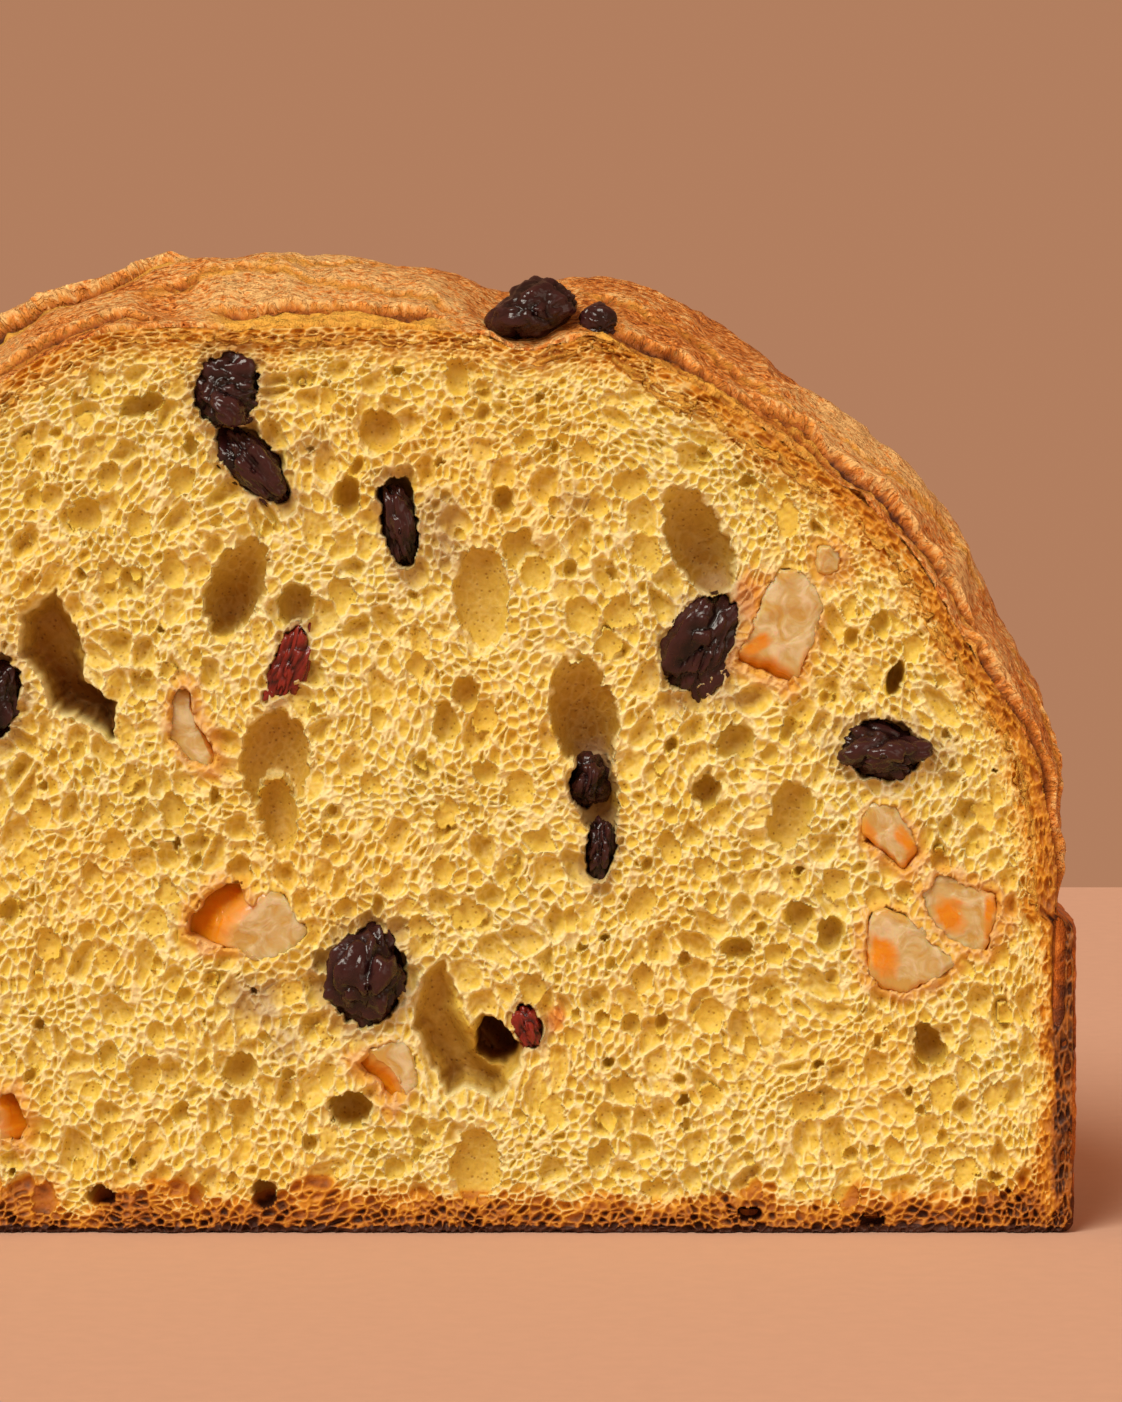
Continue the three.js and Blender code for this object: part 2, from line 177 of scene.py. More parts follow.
def wallRadius(z):
    # the wall's radius: less a quarter circle at the foot and a small step in at the waist
    foot = np.maximum(0, loaf["footRounding"] - z)
    rounding = loaf["footRounding"] - np.sqrt(np.maximum(loaf["footRounding"] ** 2 - foot ** 2, 0))
    waist = (loaf["wallRadius"] - loaf["domeRadius"]) * smooth(loaf["wallHeight"], loaf["domeStart"], z)
    return loaf["wallRadius"] - rounding - waist


rimTurns = np.linspace(0, 180, 1441)
rimLine = domePoints(rimTurns, np.zeros(rimTurns.shape))
rimPolar = np.degrees(np.arctan2(rimLine[:, 2] - loaf["domeStart"], rimLine[:, 0]))
rimReach = np.hypot(rimLine[:, 0], rimLine[:, 2] - loaf["domeStart"])


def insideRim(x, z):
    # how far a place on the cut face lies inside the loaf's outline
    rise = z - loaf["domeStart"]
    polar = np.degrees(np.arctan2(np.maximum(rise, 0), x))
    dome = np.interp(polar, rimPolar, rimReach) - np.hypot(x, rise)
    wall = np.sqrt(wallRadius(z) ** 2 - loaf["axisBehindCut"] ** 2) - np.abs(x)
    return np.where(rise > 0, dome, wall)


# Meshes

def toFrame(points):
    # millimetres from the middle of the cut face's foot become metres of the frame
    return np.asarray(points, float) * mm + [0.0, cutPlane, 0.0]


def newObject(name, data):
    # an object of the scene that holds a mesh, a light or a camera
    holder = bpy.data.objects.new(name, data)
    bpy.context.collection.objects.link(holder)
    return holder


def signedVolume(points, faces):
    # the sum over triangles of a third of the corner triple products, halved: above 0 where
    # the faces point outwards
    total = 0.0
    for group in faces:
        group = np.asarray(group)
        for k in range(1, group.shape[1] - 1):
            a, b, c = points[group[:, 0]], points[group[:, k]], points[group[:, k + 1]]
            total += np.einsum("ij,ij->", a, np.cross(b, c)) / 6
    return total


def makePiece(name, points, faces, material, stands, values, places, normals=None):
    # points in millimetres; faces in groups of equal corner counts, all turned about together
    # if their volume comes out below 0; values are numbers kept on the points for the material;
    # places are texture places, one for each corner of each face, group by group; normals are
    # given for a piece that carries on in its neighbour, so that the join doesn't show
    points = np.asarray(points, float)
    flipped = signedVolume(points, faces) < 0
    groups = [np.asarray(g)[:, ::-1] if flipped else np.asarray(g) for g in faces]
    mesh = bpy.data.meshes.new(name)
    counts = np.concatenate([np.full(len(g), g.shape[1]) for g in groups])
    corners = np.concatenate([g.ravel() for g in groups])
    mesh.vertices.add(len(points))
    mesh.vertices.foreach_set("co", toFrame(points).ravel())
    mesh.loops.add(len(corners))
    mesh.loops.foreach_set("vertex_index", corners.astype(np.int32))
    mesh.polygons.add(len(counts))
    starts = np.concatenate([[0], np.cumsum(counts)[:-1]])
    mesh.polygons.foreach_set("loop_start", starts.astype(np.int32))
    mesh.polygons.foreach_set("loop_total", counts.astype(np.int32))
    mesh.update(calc_edges=True)
    mesh.polygons.foreach_set("use_smooth", np.full(len(counts), True))
    for key, value in values.items():
        layer = mesh.attributes.new(key, "FLOAT", "POINT")
        layer.data.foreach_set("value", np.asarray(value, np.float32).ravel())
    turned = [np.asarray(p)[:, ::-1] if flipped else np.asarray(p) for p in places]
    layer = mesh.uv_layers.new(name="OFBake")
    layer.data.foreach_set("uv", np.concatenate([p.reshape(-1) for p in turned]).astype(np.float32))
    mesh.validate()
    if normals is not None:
        mesh.normals_split_custom_set_from_vertices(normals)
    piece = newObject(name, mesh)
    mesh.materials.append(material)
    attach(piece, "root")
    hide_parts(stands)
    print(f"{name}: {len(points)} points, {int((counts - 2).sum())} triangles")


def gridFaces(rows, columns, wrapRows=False, wrapColumns=False):
    # the four-cornered faces between the rows and columns of a grid of points, and their places
    # in the unit square
    i, j = np.meshgrid(
        np.arange(rows if wrapRows else rows - 1),
        np.arange(columns if wrapColumns else columns - 1),
        indexing="ij",
    )
    i, j = i.ravel(), j.ravel()
    downs, rights = [0, 0, 1, 1], [0, 1, 1, 0]
    faces = np.stack([((i + d) % rows) * columns + (j + r) % columns for d, r in zip(downs, rights)], -1)
    wide = columns if wrapColumns else columns - 1
    high = rows if wrapRows else rows - 1
    places = np.stack([
        np.stack([(j + r) / wide, (i + d) / high], -1) for d, r in zip(downs, rights)
    ], 1)
    return faces, places


def closedTip(ring, tip):
    # triangles from each side of a closed ring of points to one more point
    return np.stack([ring, np.roll(ring, -1), np.full(len(ring), tip)], -1)


def flatPlaces(*groups):
    # one small spot of the texture for faces that don't show
    return [np.full((*np.shape(group)[:2], 2), 0.001) for group in groups]


# Materials

class Stuff:
    # a new material with one shader, and a short way to add its nodes and join them; a number
    # or a colour may stand wherever the output of a node may
    def __init__(self, name):
        self.material = bpy.data.materials.new(name)
        self.material.use_nodes = True
        self.tree = self.material.node_tree
        self.tree.nodes.clear()
        output = self.add("OutputMaterial")
        self.shader = self.add("BsdfPrincipled")
        self.tree.links.new(self.shader.outputs[0], output.inputs["Surface"])

    def join(self, node, inputs):
        for key, source in inputs.items():
            socket = node.inputs[key]
            if isinstance(source, (int, float)):
                socket.default_value = source
            elif isinstance(source, tuple):
                socket.default_value = (*source, 1)[:len(socket.default_value)]
            else:
                self.tree.links.new(source, socket)

    def add(self, kind, inputs=None):
        node = self.tree.nodes.new("ShaderNode" + kind)
        self.join(node, inputs or {})
        return node

    def value(self, name):
        node = self.add("Attribute")
        node.attribute_name = name
        return node.outputs["Fac"]

    def place(self):
        return self.add("TexCoord").outputs["Object"]

    def drawn(self, vector, scale):
        return self.add("Mapping", {"Vector": vector, "Scale": scale}).outputs[0]

    def vector(self, x, y, z):
        return self.add("CombineXYZ", {0: x, 1: y, 2: z}).outputs[0]

    def noise(self, vector, scale, detail=3, roughness=0.5, distortion=0.0):
        node = self.add("TexNoise", {
            "Vector": vector, "Scale": scale, "Detail": detail, "Roughness": roughness,
            "Distortion": distortion,
        })
        return node.outputs["Fac"]

    def cells(self, vector, scale):
        return self.add("TexVoronoi", {"Vector": vector, "Scale": scale}).outputs["Distance"]

    def ramp(self, source, stops):
        node = self.add("ValToRGB", {"Fac": source})
        elements = node.color_ramp.elements
        while len(elements) < len(stops):
            elements.new(0.5)
        for element, (position, colour) in zip(elements, stops):
            element.position = position
            element.color = (*colour, 1)
        return node.outputs["Color"]

    def scale(self, source, low, high, start=0.0, end=1.0):
        node = self.add("MapRange", {
            "Value": source, "From Min": low, "From Max": high, "To Min": start, "To Max": end,
        })
        return node.outputs["Result"]

    def math(self, operation, first, second):
        node = self.add("Math", {0: first, 1: second})
        node.operation = operation
        return node.outputs[0]

    def plus(self, first, second):
        return self.math("ADD", first, second)

    def times(self, first, second):
        return self.math("MULTIPLY", first, second)

    def blend(self, first, second, share, mode="MIX"):
        node = self.add("Mix")
        node.data_type = "RGBA"
        node.blend_type = mode
        self.join(node, {0: share, 6: first, 7: second})
        return node.outputs[2]

    def tinted(self, colour, tint, share=1.0):
        return self.blend(colour, tint, share, "MULTIPLY")

    def bump(self, height, distance, strength=1.0, normal=None):
        node = self.add("Bump", {"Height": height, "Distance": distance, "Strength": strength})
        if normal is not None:
            self.join(node, {"Normal": normal})
        return node.outputs[0]


crumbFinish = dict(
    wall=(0.90, 0.84, 0.42),
    floor=(0.85, 0.68, 0.10),
    # hollow and deepest: painted shade, the colours of places that lie deep below the face
    hollow=(0.56, 0.37, 0.048),
    deepestShade=(0.28, 0.11, 0.012),
    deepestShadeAt=10.5,  # millimetres down
    toastPale=(0.80, 0.42, 0.06),
    toastMid=(0.44, 0.150, 0.020),
    toastDark=(0.055, 0.014, 0.005),
    stain=(0.70, 0.27, 0.04),
    raisinStain=(0.34, 0.22, 0.16),
    roughness=0.6,
    translucency=0.15,
)


def crumbMaterial():
    look = crumbFinish
    n = Stuff("crumb")
    place = n.place()
    # the colour darkens with the depth below the face: painted shade in the cells and holes
    depth = n.scale(n.value("depth"), 0, look["deepestShadeAt"])
    floor = n.ramp(depth, [(0.0, look["floor"]), (0.36, look["hollow"]), (1.0, look["deepestShade"])])
    pinholes = n.cells(place, 1050)
    # the pinholes' middles are painted dark: painted shade in the tiny pinholes
    floor = n.tinted(floor, n.ramp(pinholes, [(0.10, (0.55, 0.40, 0.22)), (0.24, (1, 1, 1))]), 0.8)
    # the pale wall colour on the thin wall tops and the holes' rims is a painted highlight
    colour = n.blend(floor, look["wall"], n.value("wall"))
    patches = n.noise(place, 45)
    tint = n.ramp(patches, [(0.3, (1.0, 0.93, 0.78)), (0.5, (1, 1, 1)), (0.7, (0.97, 1.0, 1.10))])
    colour = n.tinted(colour, tint)
    fine = n.noise(place, 1400, 2)
    speckle = [(0.32, (0.88, 0.84, 0.74)), (0.52, (1, 1, 1)), (0.72, (1.08, 1.09, 1.16))]
    colour = n.tinted(colour, n.ramp(fine, speckle), 0.8)
    colour = n.blend(colour, look["stain"], n.value("stain"))
    colour = n.blend(colour, look["raisinStain"], n.value("purple"))
    toastAndShade = n.plus(n.value("toastAndShade"), n.scale(n.noise(place, 420), 0.3, 0.7, -0.10, 0.10))
    browned = n.ramp(toastAndShade, [
        (0.0, (1, 1, 1)), (0.28, (1.0, 0.83, 0.62)), (0.52, look["toastPale"]),
        (0.80, look["toastMid"]), (1.0, look["toastDark"]),
    ])
    # toast first tints the crumb and then covers it
    colour = n.tinted(colour, browned, n.scale(toastAndShade, 0.0, 0.5))
    colour = n.blend(colour, browned, n.scale(toastAndShade, 0.52, 0.9))
    bumps = n.bump(n.scale(pinholes, 0.08, 0.28), 0.00018, 0.6)
    n.join(n.shader, {
        "Base Color": colour,
        "Roughness": look["roughness"],
        "Specular IOR Level": 0.35,
        "Subsurface Weight": look["translucency"],
        "Subsurface Radius": (1.0, 0.6, 0.2),
        "Subsurface Scale": 0.0012,
        "Normal": n.bump(fine, 0.00014, 0.7, bumps),
    })
    return n.material


crustFinish = dict(
    # pale: the crust's palest colour, partly painted sheen
    pale=(1.0, 0.67, 0.26),
    skin=(0.92, 0.34, 0.052),
    brownAndShade=(0.48, 0.120, 0.010),
    dark=(0.10, 0.024, 0.006),
    bareBright=(1.0, 0.58, 0.085),
    bareDeep=(0.52, 0.16, 0.012),
    roughness=0.38,
)


def crustMaterial():
    # near the cut the grain runs along the arch, by the points' own measures up the arch, back
    # and outwards; further back it has no direction and is quieter
    look = crustFinish
    n = Stuff("crust")
    place = n.place()
    back = n.value("back")
    drawn = n.vector(n.value("along"), back, n.value("height"))
    stretched = n.drawn(drawn, (0.75, 1.7, 0.6))
    front = n.scale(back, 28, 80, 1.0, 0.0)
    behind = n.scale(back, 28, 80)
    grainFront = n.times(n.noise(stretched, 1.3, 5, 0.7), front)
    grainBehind = n.times(n.noise(place, 520, 5, 0.62, 0.6), behind)
    fine = n.plus(grainFront, grainBehind)
    brownAndShade = n.plus(n.value("brownAndShade"), n.scale(n.noise(place, 60, 5, 0.6, 0.4), 0.3, 0.7, -0.20, 0.20))
    brownAndShade = n.plus(brownAndShade, n.scale(n.noise(place, 17, 2), 0.35, 0.65, -0.12, 0.12))
    # the grain lightens and darkens the crust, partly its own mottling and partly painted sheen
    grainAndSheen = n.times(n.scale(fine, 0.3, 0.7, 0.55, -0.57), n.scale(back, 24, 70, 1.0, 0.38))
    colour = n.ramp(n.plus(brownAndShade, grainAndSheen), [
        (0.0, look["pale"]), (0.34, look["skin"]), (0.64, look["brownAndShade"]), (1.0, look["dark"]),
    ])
    dashes = n.cells(n.drawn(drawn, (0.62, 1.7, 0.8)), 1.0)
    dashes = n.plus(dashes, n.scale(back, 40, 90))
    colour = n.tinted(colour, n.ramp(dashes, [(0.07, (0.42, 0.24, 0.15)), (0.22, (1, 1, 1))]), 0.85)
    threads = n.times(n.noise(n.drawn(drawn, (0.35, 2.2, 0.5)), 1.0, 3, 0.6, 0.8), front)
    threads = n.plus(threads, n.times(0.7, behind))
    ridges = [(0.40, (1, 1, 1)), (0.47, (0.66, 0.46, 0.30)), (0.53, (1, 1, 1))]
    colour = n.tinted(colour, n.ramp(threads, ridges), 0.7)
    # bright flecks: partly the crust's own flecks and partly painted sheen
    flecksAndSheen = n.noise(stretched, 3.6, 2)
    colour = n.tinted(colour, n.ramp(flecksAndSheen, [(0.56, (1, 1, 1)), (0.70, (1.6, 1.7, 1.8))]), 0.9)
    torn = n.ramp(n.plus(n.value("brownAndShade"), n.scale(fine, 0.3, 0.7, -0.15, 0.15)), [
        (0.05, look["bareBright"]), (0.55, look["bareDeep"]), (1.0, look["dark"]),
    ])
    bumps = n.bump(n.scale(dashes, 0.05, 0.30), 0.00030, 0.7)
    bumps = n.bump(n.scale(threads, 0.42, 0.50), 0.00030, 0.8, bumps)
    bumps = n.bump(n.times(fine, n.scale(back, 24, 70, 1.0, 0.45)), 0.00065, 1.0, bumps)
    n.join(n.shader, {
        "Base Color": n.blend(colour, torn, n.value("torn")),
        "Roughness": n.scale(fine, 0.3, 0.7, look["roughness"] - 0.08, look["roughness"] + 0.16),
        "Specular IOR Level": 0.30,
        "Normal": n.bump(flecksAndSheen, 0.00022, 0.9, bumps),
    })
    return n.material


# fold: painted shade for the creases; ridge: the raisin's colour with a painted highlight on the ridges
raisinFinish = dict(
    fold=(0.004, 0.0012, 0.0014), ridge=(0.045, 0.013, 0.014), roughness=0.14, gloss=0.42,
)
redRaisinFinish = dict(
    fold=(0.028, 0.003, 0.003), ridge=(0.25, 0.022, 0.014), roughness=0.16, gloss=0.45,
)


def raisinMaterial(name, look):
    n = Stuff(name)
    place = n.place()
    ridgeLightCreaseShade = n.plus(n.value("ridgeLightCreaseShade"), n.scale(n.noise(place, 500), 0.3, 0.7, -0.15, 0.15))
    shine = n.scale(n.noise(place, 700, 2), 0.3, 0.7, look["roughness"] - 0.07, look["roughness"] + 0.18)
    n.join(n.shader, {
        # painted shade in the creases and a painted highlight on the ridges
        "Base Color": n.ramp(ridgeLightCreaseShade, [(0.15, look["fold"]), (0.9, look["ridge"])]),
        "Roughness": shine,
        "Specular IOR Level": look["gloss"],
        "Normal": n.bump(n.noise(place, 1000, 3, 0.55), 0.00016, 0.7),
    })
    return n.material


peelFinish = dict(
    pith=(0.66, 0.52, 0.235), pithDark=(0.62, 0.40, 0.10), pithPale=(0.77, 0.65, 0.39),
    skin=(0.80, 0.31, 0.008), roughness=0.24, translucency=0.7,
)


def peelMaterial():
    look = peelFinish
    n = Stuff("candied peel")
    place = n.place()
    cloud = n.noise(place, 300, 3, 0.5, 1.2)
    pith = n.ramp(cloud, [(0.36, look["pithDark"]), (0.50, look["pith"]), (0.62, look["pithPale"])])
    skin = n.plus(n.value("skin"), n.scale(cloud, 0.3, 0.7, -0.15, 0.15))
    bumps = n.bump(cloud, 0.0006, 0.7)
    n.join(n.shader, {
        "Base Color": n.blend(pith, look["skin"], n.scale(skin, 0.25, 0.75)),
        "Roughness": look["roughness"],
        "Specular IOR Level": 0.5,
        "Subsurface Weight": look["translucency"],
        "Subsurface Radius": (1.0, 0.5, 0.16),
        "Subsurface Scale": 0.0030,
        "Normal": n.bump(n.noise(place, 1100, 3, 0.6), 0.00012, 0.7, bumps),
    })
    return n.material


crumbStuff = crumbMaterial()
crustStuff = crustMaterial()
raisinStuff = raisinMaterial("raisin", raisinFinish)
redRaisinStuff = raisinMaterial("red raisin", redRaisinFinish)
peelStuff = peelMaterial()
print("materials made")


# Raisins and peel: where they lie

# name: x, y of the middle, z, width, depth, height, lean to the right
raisins = {
    "raisin_upper_left": (-20.6, 2.2, 120.6, 10.6, 9.6, 10.4, 20),
    "raisin_below_it": (-16.8, 2.4, 109.8, 7.4, 8, 13.4, -42),
    "raisin_webbed": (4, 4, 101, 5.8, 7, 11.8, -9),
    "raisin_red": (-11.9, 1.6, 81.7, 4.8, 5, 11, 20),
    "raisin_large_right": (46.9, 2.6, 84.2, 9.8, 9.4, 15, 28),
    "raisin_right": (73, 2.2, 69.1, 12.8, 8.4, 8.6, 6),
    "raisin_in_hole": (31.2, 6.4, 64.4, 6.4, 8, 7.6, 20),
    "raisin_under_hole": (32.8, 3.6, 55.2, 4.8, 7, 9.6, 8),
    "raisin_round": (-0.7, 2.6, 36, 12.6, 11, 14, 12),
    "raisin_low_red": (22.3, 2, 29.6, 4.6, 5.4, 6.2, -20),
    "raisin_left_edge": (-54.6, 2.8, 76, 9.6, 9, 13.4, 12),
    "raisin_on_crust": (23.4, 5, 132.1, 11.6, 9.4, 9, -8),
    "raisin_on_crust_small": (32.6, 4.4, 130, 6.2, 6.6, 6, 10),
    "raisin_far_left": (-70.5, 2.2, 89.5, 8.4, 8, 10.8, 34),
    "raisin_low_left": (-75.4, 2.4, 35.4, 11, 9, 8.6, -16),
}
redRaisins = ("raisin_red", "raisin_low_red")

# corners: of the pale face, as x and z; skin: which way the orange skin slopes back, and how
# far; drop: how deep its far edge lies; front: how deep the face lies
peels = {
    "peel_large": dict(corners=[(57.8, 95.9), (54.7, 88.9), (52.4, 83.9), (57.7, 81.9), (60.9, 80),
        (63, 85.3), (64.6, 90.3), (62.2, 95.2)], skin=(-0.9, -1.6), drop=2.2, front=-0.3, depth=9,
        spots=[(54.6, 84.6, 3.6, 1.5, -32)]),
    "peel_small": dict(corners=[(63.7, 98.9), (63.2, 96.4), (64.4, 94.8), (66.6, 95), (67.2, 97.4),
        (65.8, 99.2)], skin=(0.2, -0.2), drop=0.6, front=-0.2, depth=4),
    "peel_upper_right": dict(corners=[(71.5, 62.2), (69.9, 59.8), (70.2, 57.9), (73.7, 54.9),
        (75.8, 53), (78.2, 56.2), (76.8, 59.2), (75.2, 61.7)],
        skin=(0.5, -1.4), drop=2.0, front=-0.1, depth=8,
        spots=[(70.8, 57.2, 1.6, 3.6, -20), (76.8, 56, 1.5, 4, -30)]),
    "peel_right": dict(corners=[(71.4, 46.4), (70.9, 42.4), (71.2, 37.7), (73.3, 35.8), (76.3, 34.9),
        (81, 36.8), (84, 38.8), (82.8, 40.2), (80.2, 42), (78.8, 44.1), (76.2, 46.1), (73.7, 46.9)],
        skin=(-0.4, -0.5), drop=1.2, front=-0.3, depth=8,
        spots=[(73.4, 39.6, 2.6, 3.6, -16)]),
    "peel_far_right": dict(corners=[(81.5, 52.2), (78, 49.3), (80, 45), (82.1, 43), (84.7, 41),
        (88, 40.4), (89.4, 44.9), (89.2, 49.2), (84, 50.8)],
        skin=(0.5, 0), drop=1.4, front=0.1, depth=8,
        spots=[(82.6, 46, 2.8, 3.6, -30), (88.4, 46, 1.1, 5, 4)]),
    "peel_left": dict(corners=[(-12.7, 49), (-15.1, 49.6), (-18.2, 46.9), (-20.2, 44.7), (-21, 41.4),
        (-17.1, 39.5), (-14, 39.4), (-10.7, 41.2), (-9.3, 43.7), (-11, 46.2)],
        skin=(-6.2, 1.6), drop=4, front=-0.2, depth=8),
    "peel_low": dict(corners=[(3.9, 28.4), (-1, 26.8), (0.9, 25), (3, 23), (4.9, 19.5), (6.4, 22.3),
        (6.2, 25.6)], skin=(-2.2, -2), drop=2.6, front=-0.2, depth=7),
    "peel_strip": dict(corners=[(-27.8, 79), (-29, 76.4), (-29.4, 72), (-28.2, 70.2), (-26.2, 67.9),
        (-23.2, 66.6), (-22.8, 68.6), (-24.5, 72), (-26.1, 75.7), (-26.2, 78.2)],
        skin=(0.7, 0.2), drop=1, front=1.4, depth=8),
    "peel_left_edge": dict(corners=[(-54.8, 20.2), (-57.4, 20), (-58.6, 17), (-57.6, 13),
        (-54.2, 11.9), (-53, 14.4), (-53.6, 17.6)], skin=(3.6, 0.6), drop=3, front=-0.2, depth=8),
    "peel_far_left": dict(corners=[(-84.6, 49), (-90, 48.4), (-91.4, 42.2), (-87, 40.8),
        (-83.4, 43.4)], skin=(1, -1.6), drop=2.2, front=-0.2, depth=7),
    "peel_low_left": dict(corners=[(-64.8, 17), (-70.6, 15.8), (-72.4, 11.4), (-69, 9), (-64, 12)],
        skin=(-2.6, 0.6), drop=2.6, front=-0.2, depth=8),
}


# The crumb

# Large holes, as the solids have them, but for those of the two hollows below:
# x, z, width, height, depth, lean, foot in
holes = [
    (-19.3, 93.2, 8.4, 15.2, 11, 24, 12),
    (-11, 90.4, 5.6, 6.4, 5, 10, 0),
    (-13.8, 68, 10.4, 15, 5.5, 0, 0),
    (-13.6, 60.5, 5.6, 11, 5, -6, 0),
    (30.4, 74.6, 9.6, 18.4, 11, -12, 24),
    (32.4, 62.5, 6.4, 12, 7, -10, 10),
    (46.6, 99.8, 8.8, 17, 10, -24, 24),
    (15.7, 91.7, 8.2, 15.2, 3.4, -3, 0),
    (59.8, 60, 6.6, 11, 3.6, 10, 0),
    (1.1, 115.6, 6.2, 6.2, 3.8, 0, 0),
    (-3.4, 106, 3.8, 5.6, 4.4, 0, 0),
    (3.4, 106.4, 5.6, 5.6, 8, 0, 0),
    (-32.7, 119, 6.6, 3.4, 3.6, -18, 0),
    (18.8, 105.3, 3.2, 4.2, 3.6, 0, 0),
    (21.2, 98.2, 5, 7.4, 2.6, -12, 0),
    (51.8, 71, 5.8, 5.8, 3.4, 0, 0),
    (47.8, 63.8, 4.4, 5, 4.6, 0, 0),
    (10.4, 73.6, 4, 6.2, 3, 0, 0),
    (13.4, 77.8, 4.4, 5, 3.2, 10, 0),
    (-3.4, 17.8, 7, 5.2, 6.5, 0, 0),
    (-19.2, 23.6, 5.2, 6, 4, 20, 0),
    (79.8, 27.2, 4.6, 7, 5.4, -30, 0),
    (61.2, 46, 4, 5.2, 3.4, 0, 0),
    (65.6, 43.2, 4, 5.2, 3.8, 0, 0),
    (52.6, 41, 5.2, 3.2, 3.4, 0, 0),
    (74.8, 80, 2.4, 5.2, 6, 14, 0),
    (14.8, 9.8, 8, 11, 2.8, 0, 0),
    (-40.8, 103.2, 5.4, 5.2, 2.8, 0, 0),
    (-15.7, 5.6, 3.8, 4.4, 5, 0, 0),
    (-39, 5.4, 4.4, 3.2, 5, 0, 0),
    (54, 2.8, 3.8, 2.2, 4, 0, 0),
    (-62, 96, 6.2, 11, 6, 20, 10),
    (-72, 78, 7.2, 12, 8, 16, 16),
    (-68, 48, 6, 8, 5, 0, 0),
    (-57, 64, 6.4, 9.2, 4.4, -10, 0),
    (-82, 58, 4.6, 7.4, 5, 12, 0),
    (-61, 24, 8.2, 6.4, 6, 0, 0),
    (-84, 26, 5, 6.4, 4.4, -8, 0),
]

# Shallow bubbles, too flat for solids: x, z, width, height, depth, lean
bubbles = [
    (-33.2, 102, 3.4, 4.6, 1.6, 10), (-27, 108.2, 3.6, 5.2, 1.8, 24), (-37.4, 95.3, 3.4, 4, 1.5, 0),
    (-28.6, 95.6, 3.8, 4.6, 1.6, -8), (-4.3, 92, 4, 5.4, 1.8, 0), (29.9, 88.7, 5, 6, 1.8, 0),
    (35.7, 89.5, 4.6, 5.2, 1.7, 0), (33.7, 84.7, 4.2, 4.4, 1.9, 0), (37.2, 107.9, 5.4, 4.6, 1.8, -20),
    (39.2, 97.6, 4.6, 6.4, 1.7, -14), (23.4, 95, 4.4, 5.6, 2.2, -10), (16.1, 74.6, 3.6, 5, 1.8, 0),
    (6.6, 81.5, 3.2, 4.4, 1.6, 0), (20.9, 64, 4.4, 5, 1.6, 0), (24, 56.7, 4.8, 4.2, 1.6, 0),
    (13.7, 46.2, 5.4, 4.4, 1.8, 0), (6.9, 44.2, 4, 3.6, 1.7, 0), (10.1, 52.3, 3.8, 4.4, 1.5, 0),
    (23.1, 35.4, 4, 5, 1.9, 0), (66.2, 50.3, 4.2, 5, 1.8, 0), (-36.7, 56, 4.2, 4.2, 1.7, 0),
    (-40, 52, 3.4, 3.8, 1.9, 0), (-18.9, 52.4, 3.6, 4.2, 2.4, 0), (-32.6, 22.7, 4.8, 6, 2.2, 14),
    (-37.9, 25.7, 3.2, 3.6, 1.8, 0), (71.9, 1.8, 4.2, 2.4, 3.2, 0), (42.6, 55.8, 3.6, 4.8, 1.8, -10),
    (38.6, 47.6, 4.4, 5.6, 1.8, 12), (48.4, 31.6, 4.6, 5.2, 1.7, 0), (36.2, 20.8, 4.2, 5, 1.9, -12),
    (62.4, 18.6, 4.4, 5.2, 1.8, 8), (-6.6, 22.6, 3.4, 4.4, 1.7, 0), (-46.4, 41.8, 3.8, 4.6, 1.6, 0),
]

# The two ragged hollows: corners as x and z, and the depths at their head and foot
hollows = [
    dict(corners=[(-45.3, 92.6), (-49.9, 88.7), (-50.3, 83.6), (-47.4, 80), (-45.7, 76.2),
        (-42.2, 74.2), (-37.3, 71.3), (-36.7, 76.3), (-39.3, 78.3), (-41.2, 79.6), (-41.4, 84.3),
        (-42.3, 86.9), (-44, 90)], head=5, foot=16.5),
    dict(corners=[(6.9, 37.3), (10.1, 39.2), (13, 33), (13.9, 29.9), (15.7, 31.7), (18.1, 30.6),
        (22.1, 26.6), (20, 22.3), (17.7, 19.3), (13.1, 21.1), (10.9, 20.4), (7.7, 26.1),
        (5.9, 29.9)], head=3.5, foot=10, shaft=(18.0, 27.6, 2.9, 3.2),
        membrane=[(12.2, 32), (14.6, 26.4), (20.4, 21.6)]),
]

# Crumb stained by the fruit beside it: x, z, half width, half height, strength, which stain
smudges = [
    (-17.4, 34, 5.2, 4, 0.55, "purple"), (9, 104, 4.4, 3.6, 0.45, "purple"),
    (50.6, 77.4, 4, 3.2, 0.45, "purple"), (80.6, 68.6, 4, 4.6, 0.40, "purple"),
    (10, 98.6, 3.4, 4.4, 0.45, "purple"), (-8.4, 113, 3.6, 3, 0.35, "purple"),
    (-12.6, 27.6, 3.2, 3.6, 0.40, "purple"), (29, 105.4, 3.4, 2.8, 0.30, "purple"),
    (26.4, 31, 1.5, 2.4, 0.9, "stain"), (54, 91.4, 2.6, 4.8, 0.75, "stain"),
    (-19.4, 47.6, 3, 2.6, 0.5, "stain"), (66.8, 95.6, 3, 3, 0.45, "stain"),
    (79.2, 37.4, 3.4, 2.4, 0.5, "stain"), (91, 45.4, 1.8, 4.6, 0.5, "stain"),
]

